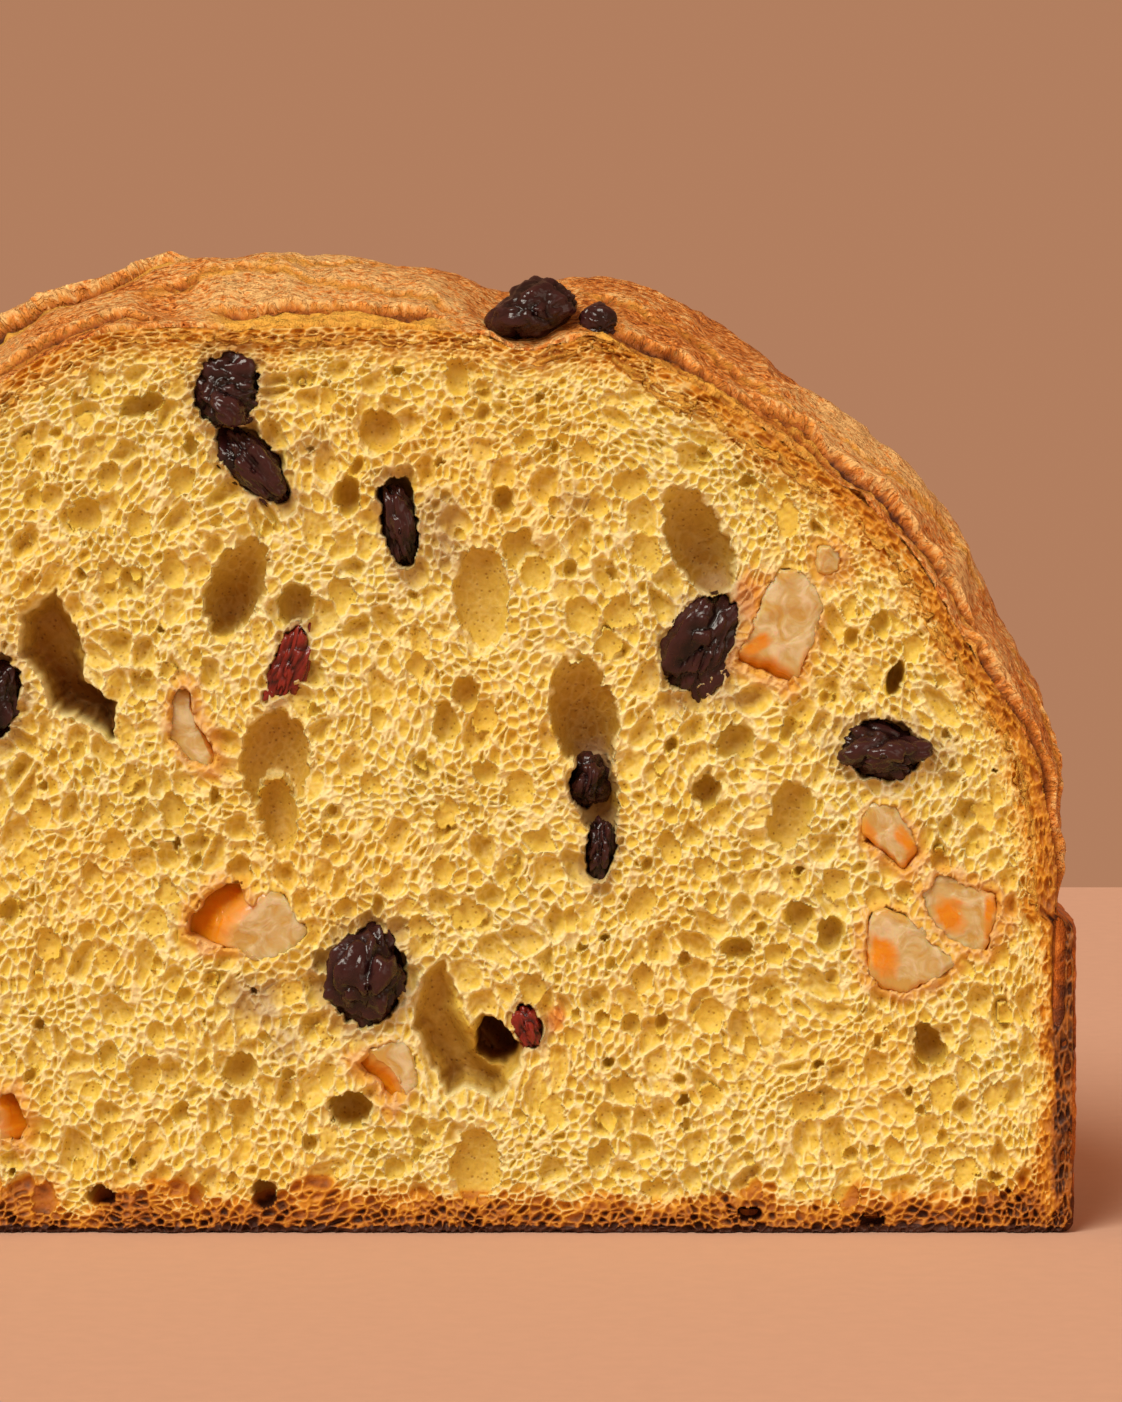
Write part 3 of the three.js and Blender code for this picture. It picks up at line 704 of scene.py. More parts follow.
crumb = dict(
    spacing=0.19,  # between the points of the cut face
    back=19.0,  # how deep the panels are
    coarseCell=3.1,
    fineCell=1.35,
    coarseWall=0.03,  # half a wall's thickness, as a share of the cell
    fineWall=0.03,
    cornerFill=0.05,  # how far walls thicken where they meet, as a share of the cell
    sizeSpread=0.42,  # of the cells
    openShare=0.22,  # a coarse cell whose weight is above this is an open bubble
    stretch=1.2,  # cells are this much taller than wide in the middle
    crustFlattening=1.3,
    baseFlattening=0.7,
    swirl=2.4,  # how far the cells wander
    smallHoleTries=1100,
    rimInset=0.5,  # how far inside the dome's edge the crumb ends, under the lip
    sideInset=0.25,
    drawnIn=0.035,  # how far the panels' backs are drawn in towards the middle, as a share
    columns=[-102, -52, 0, 52, 102],  # where one panel ends and the next begins
    rows=[0, 62, 140],
)


def foam(u, v, w, seed, wall):
    # a foam of jittered points, one in each unit cell, cut by the plane through w. A place
    # belongs to the point with the least squared distance less that point's own weight. The
    # distances to the walls beside it are joined by -k log(sum of e^(-distance / k)), which
    # rounds the corners. The depth climbs from the wall towards the way straight back to the
    # wall behind. Gives depth, distance to the wall, and the point's place and weight.
    u, v, w = np.broadcast_arrays(u, v, w)
    cells = [np.floor(c).astype(np.int64) for c in (u, v, w)]
    best = np.full(u.shape, 1e9)
    own = [np.zeros(u.shape) for _ in range(4)]
    steps = [(a, b, c) for a in (-1, 0, 1) for b in (-1, 0, 1) for c in (-1, 0, 1)]

    def site(step):
        # the point in the cell so many steps off, and the squared distance less its weight
        where = [i + s for i, s in zip(cells, step)]
        jitter = [scattered(*where, seed + k) for k in range(4)]
        spot = [c + 0.06 + 0.88 * j for c, j in zip(where, jitter)]
        weight = crumb["sizeSpread"] * jitter[3] ** 2
        return spot, weight, (u - spot[0]) ** 2 + (v - spot[1]) ** 2 + (w - spot[2]) ** 2 - weight

    for step in steps:
        spot, weight, away = site(step)
        closer = away < best
        best = np.where(closer, away, best)
        own = [np.where(closer, new, old) for new, old in zip([*spot, weight], own)]
    back = np.full(u.shape, 3.0)
    crowd = np.full(u.shape, 1e-9)
    for step in steps:
        spot, _, away = site(step)
        gap = [s - o for s, o in zip(spot, own)]
        length = np.sqrt(gap[0] ** 2 + gap[1] ** 2 + gap[2] ** 2)
        other = length > 1e-6
        slack = (away - best) / 2
        crowd += np.where(other, np.exp(-slack / np.maximum(length, 1e-6) / crumb["cornerFill"]), 0)
        behind = other & (gap[2] > 0.02)
        back = np.where(behind, np.minimum(back, slack / np.maximum(gap[2], 0.02)), back)
    edge = np.clip(-crumb["cornerFill"] * np.log(crowd), 0, 1)
    side = np.maximum(edge - wall, 0) * 6.0
    back = np.clip(back, 0.12, 1.3)
    return back * (1 - np.exp(-side / back)), edge, own


def bubbleDepth(x, z, hole):
    # how far straight back from the face the far side of a leaning bubble lies, and how far
    # outside its mouth a place is: the bubble is the ellipsoid |turned (p - middle) / half size| = 1
    cx, cz, width, height, depth, lean, footIn = hole
    a, b = math.radians(lean), math.radians(footIn)
    # the turns that lay the bubble in place, written as the rows that undo them
    c, s, d, e = math.cos(a), math.sin(a), math.cos(b), math.sin(b)
    rows = np.array([[c, 0, -s], [s * e, d, c * e], [s * d, -e, c * d]])
    rows /= np.array([[width / 2], [depth * 0.8], [height / 2]])
    start = [r[0] * (x - cx) - r[1] * depth * 0.2 + r[2] * (z - cz) for r in rows]
    step = rows[:, 1]
    qa = float((step ** 2).sum())
    qb = sum(p * q for p, q in zip(start, step))
    qc = sum(p * p for p in start) - 1
    inside = qb * qb - qa * qc
    down = (-qb + np.sqrt(np.maximum(inside, 0))) / qa
    return np.where((inside > 0) & (down > 0), down, 0), np.sqrt(np.maximum(qc + 1, 0))


def polygonDistance(x, z, corners):
    # the distance to the nearest side of a polygon, below 0 inside it; sides are taken one by one
    best = np.full(x.shape, 1e9)
    inside = np.zeros(x.shape, bool)
    for (ax, az), (bx, bz) in zip(corners, [*corners[1:], corners[0]]):
        dx, dz = bx - ax, bz - az
        t = np.clip(((x - ax) * dx + (z - az) * dz) / (dx * dx + dz * dz), 0, 1)
        best = np.minimum(best, np.hypot(x - ax - t * dx, z - az - t * dz))
        inside ^= ((az > z) != (bz > z)) & (x < dx * (z - az) / (dz if dz else 1e-9) + ax)
    return np.where(inside, -best, best)


# How toasted the crumb is, from 0 to 1, by the dome (and how much more at its right end), the
# wall, right at the wall, over the base and right at the base
toasting = dict(dome=0.50, domeRight=0.18, wall=0.76, wallSkin=0.95, base=0.84, baseSkin=1.3)


def crumbField():
    # depth of every place of the cut face, and what the material needs to know there
    step = crumb["spacing"]
    xs = np.arange(-100.6, 100.61, step)
    zs = np.arange(0.2, 135, step)
    x, z = np.meshgrid(xs, zs)
    inside = insideRim(x, z)
    whole = (slice(None), slice(None))

    def window(cx, cz, reach):
        # the slices of the grid within reach of a place
        i0, i1 = np.searchsorted(zs, [cz - reach, cz + reach])
        j0, j1 = np.searchsorted(xs, [cx - reach, cx + reach])
        return slice(i0, i1), slice(j0, j1)

    def rough(w, size, layer, seed, octaves=2):
        # noise over a window of the face, its lumps as wide as the size
        return roughNoise(x[w] / size, z[w] / size, layer, seed, octaves)

    middle = np.stack([x, (z - 40)])
    outward = middle / np.maximum(np.hypot(*middle), 1)
    # cells are pressed flat near the crust and the base, and swirled everywhere
    near = np.minimum(crumb["crustFlattening"] * below(6, 4, inside), 12)
    low = crumb["baseFlattening"] * below(5, 3, z)
    swirl, swirlUp = [crumb["swirl"] * rough(whole, 17, *layer) for layer in ((0.5, 11), (4.5, 17))]
    squeeze = crumb["stretch"]
    tremble = [0.22 * rough(whole, 1.3, 12.5 + k, 19 + k) for k in (0, 3)]
    fx = x + outward[0] * near + swirl + tremble[0]
    fz = z / squeeze + outward[1] * near - low + swirlUp + tremble[1]
    size1, size2 = crumb["coarseCell"], crumb["fineCell"]
    depth1, edge1, own1 = foam(fx / size1, fz / size1, 0.37, 101, crumb["coarseWall"])
    print("coarse foam worked out")
    depth2, edge2, own2 = foam(fx / size2 + 40, fz / size2, 0.61, 211, crumb["fineWall"])
    print("fine foam worked out")
    edge1, edge2 = edge1 * size1, edge2 * size2
    openAt = crumb["openShare"] - 0.12 * rough(whole, 14, 2.5, 23)
    opened = smooth(openAt - 0.015, openAt + 0.015, own1[3]) * smooth(3, 8, inside) * smooth(3, 8, z)
    within = opened * smooth(0.05, 0.40, edge1)
    fine = depth2 * size2 * (1 - 0.82 * within)
    depth = depth1 * size1 * 0.85 * opened + fine
    # the thin wall tops and the rims of open bubbles get a painted highlight
    paintedWallHighlight = smooth(0.24, 0.04, edge2) * (1 - 0.75 * within)
    paintedWallHighlight = np.maximum(paintedWallHighlight, opened * hump(edge1, 0.06, 0.15))

    # beside the crust long thin cells lie along it, drawn on the arch's length and on the way in
    rise = z - loaf["domeStart"]
    arc = np.where(rise > 0, np.arctan2(np.maximum(rise, 0), x) * 98, np.where(x > 0, rise, 308 - rise))
    close = (inside < 11) & (inside > -2)
    arc, way = arc[close], inside[close]
    sway = 0.9 * roughNoise(arc / 9, way / 5, 0.5, 45, 2)
    depth3, edge3, _ = foam(arc / 2.3 + 0.3 * sway, way / 0.72 + sway, 0.45, 311, 0.03)
    share = 0.9 * smooth(6.6, 1.6, way + 1.7 * roughNoise(arc / 5, 2.5, 0.5, 47, 2))
    share = share * smooth(1.0, 5.0, z[close])
    uneven = 1.0 + 0.5 * noise(arc / 4, way / 2, 6.5, 46)
    depth[close] = mix(depth[close], depth3 * 1.15 * uneven, share)
    paintedWallHighlight[close] = mix(paintedWallHighlight[close], smooth(0.20, 0.03, edge3), share)
    print("cells along the crust worked out")

    # torn wall tops end at uneven heights, and torn mouths keep to the cells' own outlines
    torn = 0.22 * rough(whole, 0.9, 7.5, 31) + 0.45 * rough(whole, 6, 9.5, 37)
    ragX = x + 0.6 * (own2[0] * size2 - (fx + 40 * size2))
    ragZ = z + 0.6 * (own2[1] * size2 - fz) * squeeze

    def openHole(hole, unevenness):
        # inside its ragged mouth the hole's own far side takes the place of the foam; a hole
        # whose foot goes in is shallow at its head and deep at its foot
        cx, cz, width, height, _, _, footIn = hole
        w = window(cx, cz, max(width, height) * 0.5 + 3)
        _, mouth = bubbleDepth(ragX[w], ragZ[w], hole)
        down, mouthHere = bubbleDepth(x[w], z[w], hole)
        ragged = mouth + unevenness * rough(w, 2.6, 3.5, 41)
        shape = smooth(1.03, 0.95, ragged)
        fall = np.clip((cz - z[w]) / height + 0.5, 0, 1)
        down = down * (mix(0.30, 1.15, fall ** 1.3) if footIn > 11 else 1.0)
        floor = down + 0.12 * fine[w] + 0.18 * rough(w, 2.2, 6.5, 43, 1)
        floor = np.maximum(floor, 0.9 * smooth(1.4, 0.9, mouthHere))
        depth[w] = mix(depth[w] * (1 - 0.5 * shape), floor, shape)
        # a pale ring round the ragged mouth: a painted highlight on the hole's rim
        paintedWallHighlight[w] = np.maximum(paintedWallHighlight[w] * (1 - 0.9 * shape), 0.9 * (smooth(1.15, 1.04, ragged) - shape))

    # small holes at random, where there is room between the others and the fruit
    random = np.random.default_rng(7)
    spots = random.uniform([-97, 5], [97, 130], (crumb["smallHoleTries"], 2))
    sizes = random.uniform(0, 1, (crumb["smallHoleTries"], 4))
    taken = [(h[0], h[1], max(h[2], h[3]) / 2) for h in holes + bubbles]
    taken += [(*np.mean(h["corners"], 0), 9.0) for h in hollows]
    taken += [(p[0], p[2], max(p[3], p[5]) / 2) for p in raisins.values()]
    taken += [(*np.mean(p["corners"], 0), 5.0) for p in peels.values()]
    kept = 0
    for (cx, cz), (a, b, c, d) in zip(spots, sizes):
        if insideRim(np.array([cx]), np.array([cz]))[0] < 6:
            continue
        width = 1.6 + 2.4 * a ** 2
        if min(math.hypot(cx - t[0], cz - t[1]) - t[2] for t in taken) < width / 2 + 0.8:
            continue
        taken.append((cx, cz, width / 2))
        openHole((cx, cz, width, width * (0.8 + 0.8 * b), 0.8 + 1.8 * c, 50 * (d - 0.5), 0), 0.10)
        kept += 1
    print(kept, "small holes")
    for hole in holes:
        openHole(hole, 0.13)
    for hole in bubbles:
        openHole((*hole, 0), 0.10)
    for hollow in hollows:
        # a ragged mouth with the given corners; its floor falls from head to foot in soft folds,
        # and goes right in at the shaft
        corners = np.array(hollow["corners"])
        w = window(*corners.mean(0), 16)
        away = polygonDistance(x[w], z[w], hollow["corners"]) + 0.5 * rough(w, 1.7, 3.5, 49)
        shape = smooth(0.25, -0.25, away)
        head, foot = corners[:, 1].max(), corners[:, 1].min()
        fall = np.clip((head - z[w]) / (head - foot), 0, 1)
        folds = 1.5 * roughNoise(x[w] / 5 + z[w] / 7, z[w] / 9, 5.5, 59, 2)
        floor = mix(hollow["head"], hollow["foot"], fall ** 1.2) + folds
        floor = floor * (0.55 + 0.45 * smooth(0.2, -1.8, away))
        if "shaft" in hollow:
            sx, sz, wide, high = hollow["shaft"]
            far = np.hypot((x[w] - sx) / wide, (z[w] - sz) / high) + 0.25 * rough(w, 2, 1.5, 55)
            floor = mix(floor, 17.0, smooth(1.2, 0.9, far))
            fold = polygonDistance(x[w], z[w], hollow["membrane"])
            floor = floor - 3.6 * hump(np.maximum(fold, -0.4), 0, 1.5)
        depth[w] = mix(depth[w], np.maximum(floor, 1.0), shape)
        # a pale ring round the mouth: a painted highlight on the rim
        paintedWallHighlight[w] = np.maximum(paintedWallHighlight[w] * (1 - 0.95 * shape), 0.9 * (smooth(0.9, 0.3, away) - shape))
    print(len(holes), "large holes")

    stain, purple, climb = [np.zeros(x.shape) for _ in range(3)]
    for name, (cx, cy, cz, width, deep, height, lean) in raisins.items():
        if name.startswith("raisin_on_crust"):
            continue
        # a ragged bubble of the raisin's size, in its place, with a gap left over the raisin
        w = window(cx, cz, max(width, height) * 0.5 + 5)
        fit = 0.93 + 0.10 * rough(w, 1.8, 1.5, 51)
        pocket = (cx, cz + 0.07 * height, width, height * 1.16, deep / 1.6, lean, 0)
        mouths = [
            bubbleDepth(cx + (px[w] - cx) / fit, cz + (pz[w] - cz) / fit, pocket)[1]
            for px, pz in ((x, z), (ragX, ragZ))
        ]
        mouth = (mouths[0] + mouths[1]) / 2
        shape = smooth(0.99, 0.91, mouth)
        depth[w] = np.maximum(depth[w], mix(depth[w], cy + deep * 0.2, shape))
        paintedWallHighlight[w] *= 1 - shape
        web = np.maximum(rough(w, 2.2, 4.5, 53, 1) + 0.15, 0) * smooth(cz + height * 0.5, cz, z[w])
        climb[w] = np.maximum(climb[w], 2.2 * hump(mouth, 0.97, 0.13) * web)
        soaked = 0.42 * smooth(1.55, 1.05, mouth + 0.3 * rough(w, 1.8, 2.5, 57, 1))
        purple[w] = np.maximum(purple[w], soaked)
    for peel in peels.values():
        corners = peel["corners"]
        w = window(*np.mean(corners, 0), 13)
        shifted = [(a + peel["skin"][0], b + peel["skin"][1]) for a, b in corners]
        behind = polygonDistance(x[w], z[w], shifted)
        away = np.minimum(polygonDistance(x[w], z[w], corners), behind)
        ragged = away + 0.45 * rough(w, 1.8, 5.5, 61)
        shape = smooth(-0.15, -0.5, ragged + 0.30)
        depth[w] = np.maximum(depth[w], mix(depth[w], 4.5, shape))
        paintedWallHighlight[w] *= 1 - shape
        web = np.maximum(rough(w, 2.0, 4.5, 63, 1) + 0.2, 0)
        climb[w] = np.maximum(climb[w], 0.9 * hump(away, -0.2, 0.6) * web)
        depth[w] = depth[w] * (1 - 0.6 * hump(away, 0.3, 0.8) * (ragged > -0.15))
        soaked = 0.55 * smooth(2.6, 0.0, behind + 0.8 * rough(w, 1.5, 8.5, 67, 1))
        stain[w] = np.maximum(stain[w], soaked)
    for sx, sz, wide, high, strength, kind in smudges:
        w = window(sx, sz, max(wide, high) + 4)
        far = np.hypot((x[w] - sx) / wide, (z[w] - sz) / high) + 0.35 * rough(w, 1.6, 7.5, 69)
        layer = purple if kind == "purple" else stain
        layer[w] = np.maximum(layer[w], strength * smooth(1.15, 0.35, far))

    # a slit between the crumb and the wall's crust on the right
    slit = hump(inside + 0.25 * noise(z / 2, 0.5, 0.5, 76), 2.4, 0.6)
    slit = slit * (x > 0) * smooth(29, 33, z) * smooth(46, 42, z)
    depth = np.maximum(depth, 6.5 * slit)

    # how toasted: by the way in from the dome and the wall, and by the height over the base
    wave = 1.4 * rough(whole, 7, 3.3, 71)
    strength = toasting["dome"] + toasting["domeRight"] * smooth(10, 80, x)
    toastDome = smooth(10.0, 0.2, inside + wave) ** 1.3 * strength
    toastWall = smooth(10, 1.5, inside + wave) ** 1.5 * toasting["wall"]
    toastWall = np.maximum(toastWall, smooth(4.6, 2.6, inside + 0.3 * wave) * toasting["wallSkin"])
    toastAndShade = mix(toastWall, toastDome, smooth(loaf["wallHeight"], loaf["domeStart"] + 6, z))
    wave = wave + 2.2 * noise(x / 3.5, z / 3.5, 9.3, 75) + 1.4 * noise(x / 11, 0.5, 0.5, 77)
    toastAndShade = np.maximum(toastAndShade, smooth(9.0, 2.0, z + wave) * toasting["base"])
    toastAndShade = np.maximum(toastAndShade, smooth(1.7, 0.6, z + 0.15 * wave) * toasting["baseSkin"])
    # where it is toasted the hollows are painted darker and the walls' edges lighter, most at the base:
    # painted shade and painted highlight
    uneven = 0.20 * np.clip(depth / 1.8, 0, 1) - 0.10 * paintedWallHighlight
    toastAndShade = toastAndShade + uneven * (1 + 0.7 * smooth(9, 6, z)) * smooth(0.2, 0.5, toastAndShade)
    # the slit takes the dark toast colours: painted shade in the gap
    toastAndShade = np.maximum(toastAndShade, slit)
    y = np.minimum(depth + torn * np.exp(-depth / 1.5) - climb, crumb["back"] - 2)
    slopeZ, slopeX = np.gradient(y, step)
    return dict(x=x, z=z, y=y, depth=depth, toastAndShade=toastAndShade, stain=stain, purple=purple, inside=inside,
                wall=paintedWallHighlight, slopeX=slopeX, slopeZ=slopeZ)


def crumbPanel(name, field, cells):
    # a part of the cut face: the front grid, walls back from its edge, and a fan at the back
    rows, columns = field["x"].shape
    index = np.arange(rows * columns).reshape(rows, columns)
    corners = np.stack([index[:-1, :-1], index[:-1, 1:], index[1:, 1:], index[1:, :-1]], -1)
    used, quads = np.unique(corners[cells], return_inverse=True)
    quads = quads.reshape(-1, 4)
    # an edge of the front lies where a kept cell meets one that isn't kept
    padded = np.pad(cells, 1)
    edges = []
    for side, (down, right) in enumerate([(-1, 0), (0, 1), (1, 0), (0, -1)]):
        beside = np.roll(padded, (-down, -right), (0, 1))[1:-1, 1:-1]
        edges.append(corners[cells & ~beside][:, [side, (side + 1) % 4]])
    edges = np.searchsorted(used, np.concatenate(edges))
    here = {key: layer.ravel()[used] for key, layer in field.items()}
    front = np.stack([here["x"], here["y"], here["z"]], -1)
    # the walls lean in a little, so that their back edge stays inside the crust
    rim = np.unique(edges)
    behind = front[rim]
    behind[:, 1] = crumb["back"]
    behind[:, [0, 2]] = mix(behind[:, [0, 2]], np.array([0.0, 50.0]), crumb["drawnIn"])
    points = np.concatenate([front, behind, behind.mean(0, keepdims=True)])
    backs = len(front) + np.searchsorted(rim, edges)
    walls = np.stack([edges[:, 1], edges[:, 0], backs[:, 0], backs[:, 1]], -1)
    fan = np.stack([backs[:, 1], backs[:, 0], np.full(len(edges), len(points) - 1)], -1)
    low, high = front.min(0), front.max(0)
    flat = 0.03 + 0.96 * (points - low)[:, [0, 2]] / (high - low).max()
    strip = np.stack([0.001 + 0.018 * flat[:, 1], 0.01 + 0.98 * flat[:, 0]], -1)
    values = {}
    for key in ("depth", "toastAndShade", "stain", "purple", "wall"):
        values[key] = np.concatenate([here[key], here[key][rim], [0.0]])
    # the front's normals come from the slopes of the whole field, so that panels join unseen
    normals = np.stack([here["slopeX"], -np.ones(len(used)), here["slopeZ"]], -1)
    normals /= np.linalg.norm(normals, axis=1, keepdims=True)
    normals = np.concatenate([normals, normals[rim], [[0, 1, 0]]])
    makePiece(name, points, [quads, walls, fan], crumbStuff, "bread", values,
              [flat[quads], strip[walls], strip[fan]], normals)


def makeCrumb():
    field = crumbField()
    x, z = field["x"], field["z"]
    inset = np.where(z > loaf["wallHeight"] + 1, crumb["rimInset"], crumb["sideInset"])
    good = field["inside"] > inset
    whole = good[:-1, :-1] & good[1:, :-1] & good[:-1, 1:] & good[1:, 1:]
    # slivers that stand alone along the edge are dropped
    for _ in range(2):
        padded = np.pad(whole, 1).astype(int)
        around = padded[:-2, 1:-1] + padded[2:, 1:-1] + padded[1:-1, :-2] + padded[1:-1, 2:]
        whole &= around >= 2
    middleX, middleZ = (x[:-1, :-1] + x[1:, 1:]) / 2, (z[:-1, :-1] + z[1:, 1:]) / 2
    number = 0
    for low, high in zip(crumb["rows"], crumb["rows"][1:]):
        for left, right in zip(crumb["columns"], crumb["columns"][1:]):
            number += 1
            here = whole & (middleX > left) & (middleX < right) & (middleZ > low) & (middleZ < high)
            crumbPanel(f"crumb_{number}", field, here)


makeCrumb()
print("crumb made")


# The crust

crust = dict(
    archColumns=820,  # round the arch of the front band
    bandTurn=15.0,  # how far back the front band reaches, in degrees
    bandRows=92,
    backRows=184,
    lipRows=24,
    lipWidth=2.3,
    wrinkleHeight=0.55,
    blisterHeight=0.5,
    wallColumns=580,
    thickness=4.0,  # of the wall
    skinEnd=46.7,  # how high over the base the dome's skin ends
    cellDepth=0.95,  # of the open cells in the torn edge
    rounding=0.9,  # of the corner between the skin and the torn edge
    wallFolds=0.25,
    wallGrain=0.22,
    wallPits=0.9,
)
archTurns = np.linspace(0, 180, crust["archColumns"])  # degrees, from right to left
bandTurns = crust["bandTurn"] * np.linspace(0, 1, crust["bandRows"]) ** 1.15
backTurns = np.linspace(crust["bandTurn"], 90, crust["backRows"])

# Layers of the skin that end one before the other towards the cut: how far back each ends, how
# high it stands over the next, and where on the arch, from which turn to which
layers = [
    dict(ends=0.5, slant=0, height=0.5, turns=(-5, 185), length=3, bare=1.2, side=6),
    dict(ends=11.5, slant=-0.25, height=2.7, turns=(99.5, 150), length=9, bare=3.4, side=2.5),
    dict(ends=4.4, slant=0.12, height=1.3, turns=(102, 128), length=5, bare=1.4, side=4),
    dict(ends=12.5, slant=-0.5, height=0.9, turns=(88, 105), length=8, bare=1.0, side=4),
    dict(ends=9.2, slant=0.45, height=0.9, turns=(84, 99), length=7, bare=0.8, side=3),
    dict(ends=4.6, slant=0.10, height=1.4, turns=(83.5, 101), length=5, bare=4.4, side=3),
    dict(ends=3.3, slant=0.05, height=1.2, turns=(57, 78), length=6, bare=2.8, side=4),
    dict(ends=9.0, slant=0.5, height=0.7, turns=(61, 78), length=7, bare=0.7, side=3),
    dict(ends=4.8, slant=-0.06, height=1.9, turns=(43, 67), length=7, bare=2.0, side=4),
    dict(ends=11, slant=-0.4, height=0.6, turns=(44, 62), length=7, bare=0.6, side=3),
    dict(ends=2.2, slant=0.04, height=1.2, turns=(20, 47), length=6, bare=1.3, side=4),
    dict(ends=9.5, slant=0.35, height=0.6, turns=(24, 44), length=7, bare=0.6, side=4),
    dict(ends=5, slant=0.1, height=1.4, turns=(132, 172), length=6, bare=1.5, side=5),
]


def layered(x, back, z):
    # each layer: a step up of its height where the wandering measure back passes its end (which
    # lies further back by slant for every degree up the arch), carried on for its length behind,
    # a thin curled lip, a hollow before it, and the bare strip in front. All of it fades out
    # further back. Gives height, how torn the place is, and painted shade and highlight at the lip
    along, turn = archLength(x, z), np.degrees(np.arctan2(z, x))
    wander = 1.5 * noise(along / 15, back / 30, 0.5, 161) + 1.1 * noise(along / 6, back / 12, 2.5, 163)
    wander = wander + 0.38 * roughNoise(along / 2.1, back / 3, 4.5, 165)
    height, torn, paintedShadeAndHighlight = 0, smooth(0.9, 0.0, back + 0.5 * wander), 0
    for k, layer in enumerate(layers):
        low, high = layer["turns"]
        share = smooth(low, low + layer["side"], turn) * smooth(high, high - layer["side"], turn)
        share = share * np.clip(0.9 + 0.8 * noise(along / 9, 0.5 + k, 6.5, 167), 0.3, 1.3)
        ends = layer["ends"] + layer["slant"] * (turn - (low + high) / 2)
        place = back + wander * (0.4 if k == 0 else 1) - np.maximum(ends, 0.5)
        rise = layer["height"] * share
        lifted = smooth(-0.28, 0.06, place) * smooth(layer["length"] + 8, layer["length"], place)
        lip = 0.22 * hump(place, 0.30, 0.35) - 0.38 * hump(place, -0.75, 0.55)
        lip = lip * smooth(11, 6, layer["ends"]) + (layer["height"] > 2) * lip
        height = height + rise * (lifted + lip)
        bare = smooth(-layer["bare"] - 0.5, -layer["bare"] + 0.3, place) * smooth(0.1, -0.3, place)
        torn = np.maximum(torn, np.minimum(1, 1.3 * share) * bare)
        # painted shade in the hollow before the lip and a painted highlight on the lip
        groove = 0.25 + 0.15 * layer["height"]
        paintedShading = 0.44 * hump(place, -groove - 0.02, groove) - 0.18 * hump(place, 0.3, 0.4)
        paintedShadeAndHighlight = paintedShadeAndHighlight + np.minimum(rise, 2.0) * paintedShading
    nearCut = smooth(26, 18, back)
    return height * nearCut, torn * nearCut, paintedShadeAndHighlight * nearCut


def crustDetail(x, y, z):
    # wrinkles that follow the arch, blisters and grain, faded to nothing at the waist, and
    # the ends of the layers near the cut
    bend = 2.4 * roughNoise(x / 14, y / 14, z / 14, 81)
    wrinkles = 1 - np.abs(roughNoise((x + bend) / 10, (y - bend) / 7, z / 10, 87)) * 2.2
    blisters = np.maximum(roughNoise(x / 5, y / 4, z / 5, 91, 2), 0)
    grain = roughNoise(archLength(x, z) / 1.6, y / 0.9, z / 20, 95, 2)
    height = crust["wrinkleHeight"] * wrinkles + crust["blisterHeight"] * blisters + 0.14 * grain
    height = height - 0.3 + layered(x, y, z)[0]
    return height * smooth(loaf["domeStart"] - 0.5, loaf["domeStart"] + 5, z) - 0.3


def skinValues(points, height):
    # what the crust's material needs: how brown, with painted shade and highlight added, and measures up
    # the arch, back and outwards
    x, y, z = np.moveaxis(points, -1, 0)
    _, torn, paintedShadeAndHighlight = layered(x, y, z)
    # painted shade: the layers' shading and a darker right side; a painted highlight on the raised relief
    brownAndShade = 0.25 + 0.04 * smooth(20, 95, x) + 0.20 * smooth(6, 80, y) + paintedShadeAndHighlight
    brownAndShade = brownAndShade - 0.06 * hump(x, -15, 35) * hump(y, 0, 16)
    brownAndShade = brownAndShade + 0.12 * roughNoise(x / 18, y / 18, z / 18, 73, 2) - 0.16 * np.clip(height - 0.2, -1, 1)
    return dict(brownAndShade=brownAndShade, along=archLength(x, z), back=y, height=0.4 * x + 0.3 * z, torn=torn)


def gridNormals(grid):
    # the cross product of the two directions of a grid of points
    normal = np.cross(np.gradient(grid, axis=0), np.gradient(grid, axis=1))
    return normal / np.maximum(np.linalg.norm(normal, axis=-1, keepdims=True), 1e-9)


def skinGrid(turns, backs):
    # the crust's outside over a grid of turns, with the height of its relief and its normals,
    # which are turned away from the loaf's axis
    a, b = np.meshgrid(turns, backs, indexing="ij")
    kept = {}

    def detail(x, y, z):
        kept["height"] = crustDetail(x, y, z)
        return kept["height"]

    points = domePoints(a, b, detail)
    normals = gridNormals(points)
    away = points - [0, loaf["axisBehindCut"], loaf["domeStart"] - 20]
    normals *= np.sign((normals * away).sum(-1, keepdims=True) + 1e-9)
    return points, kept["height"], normals


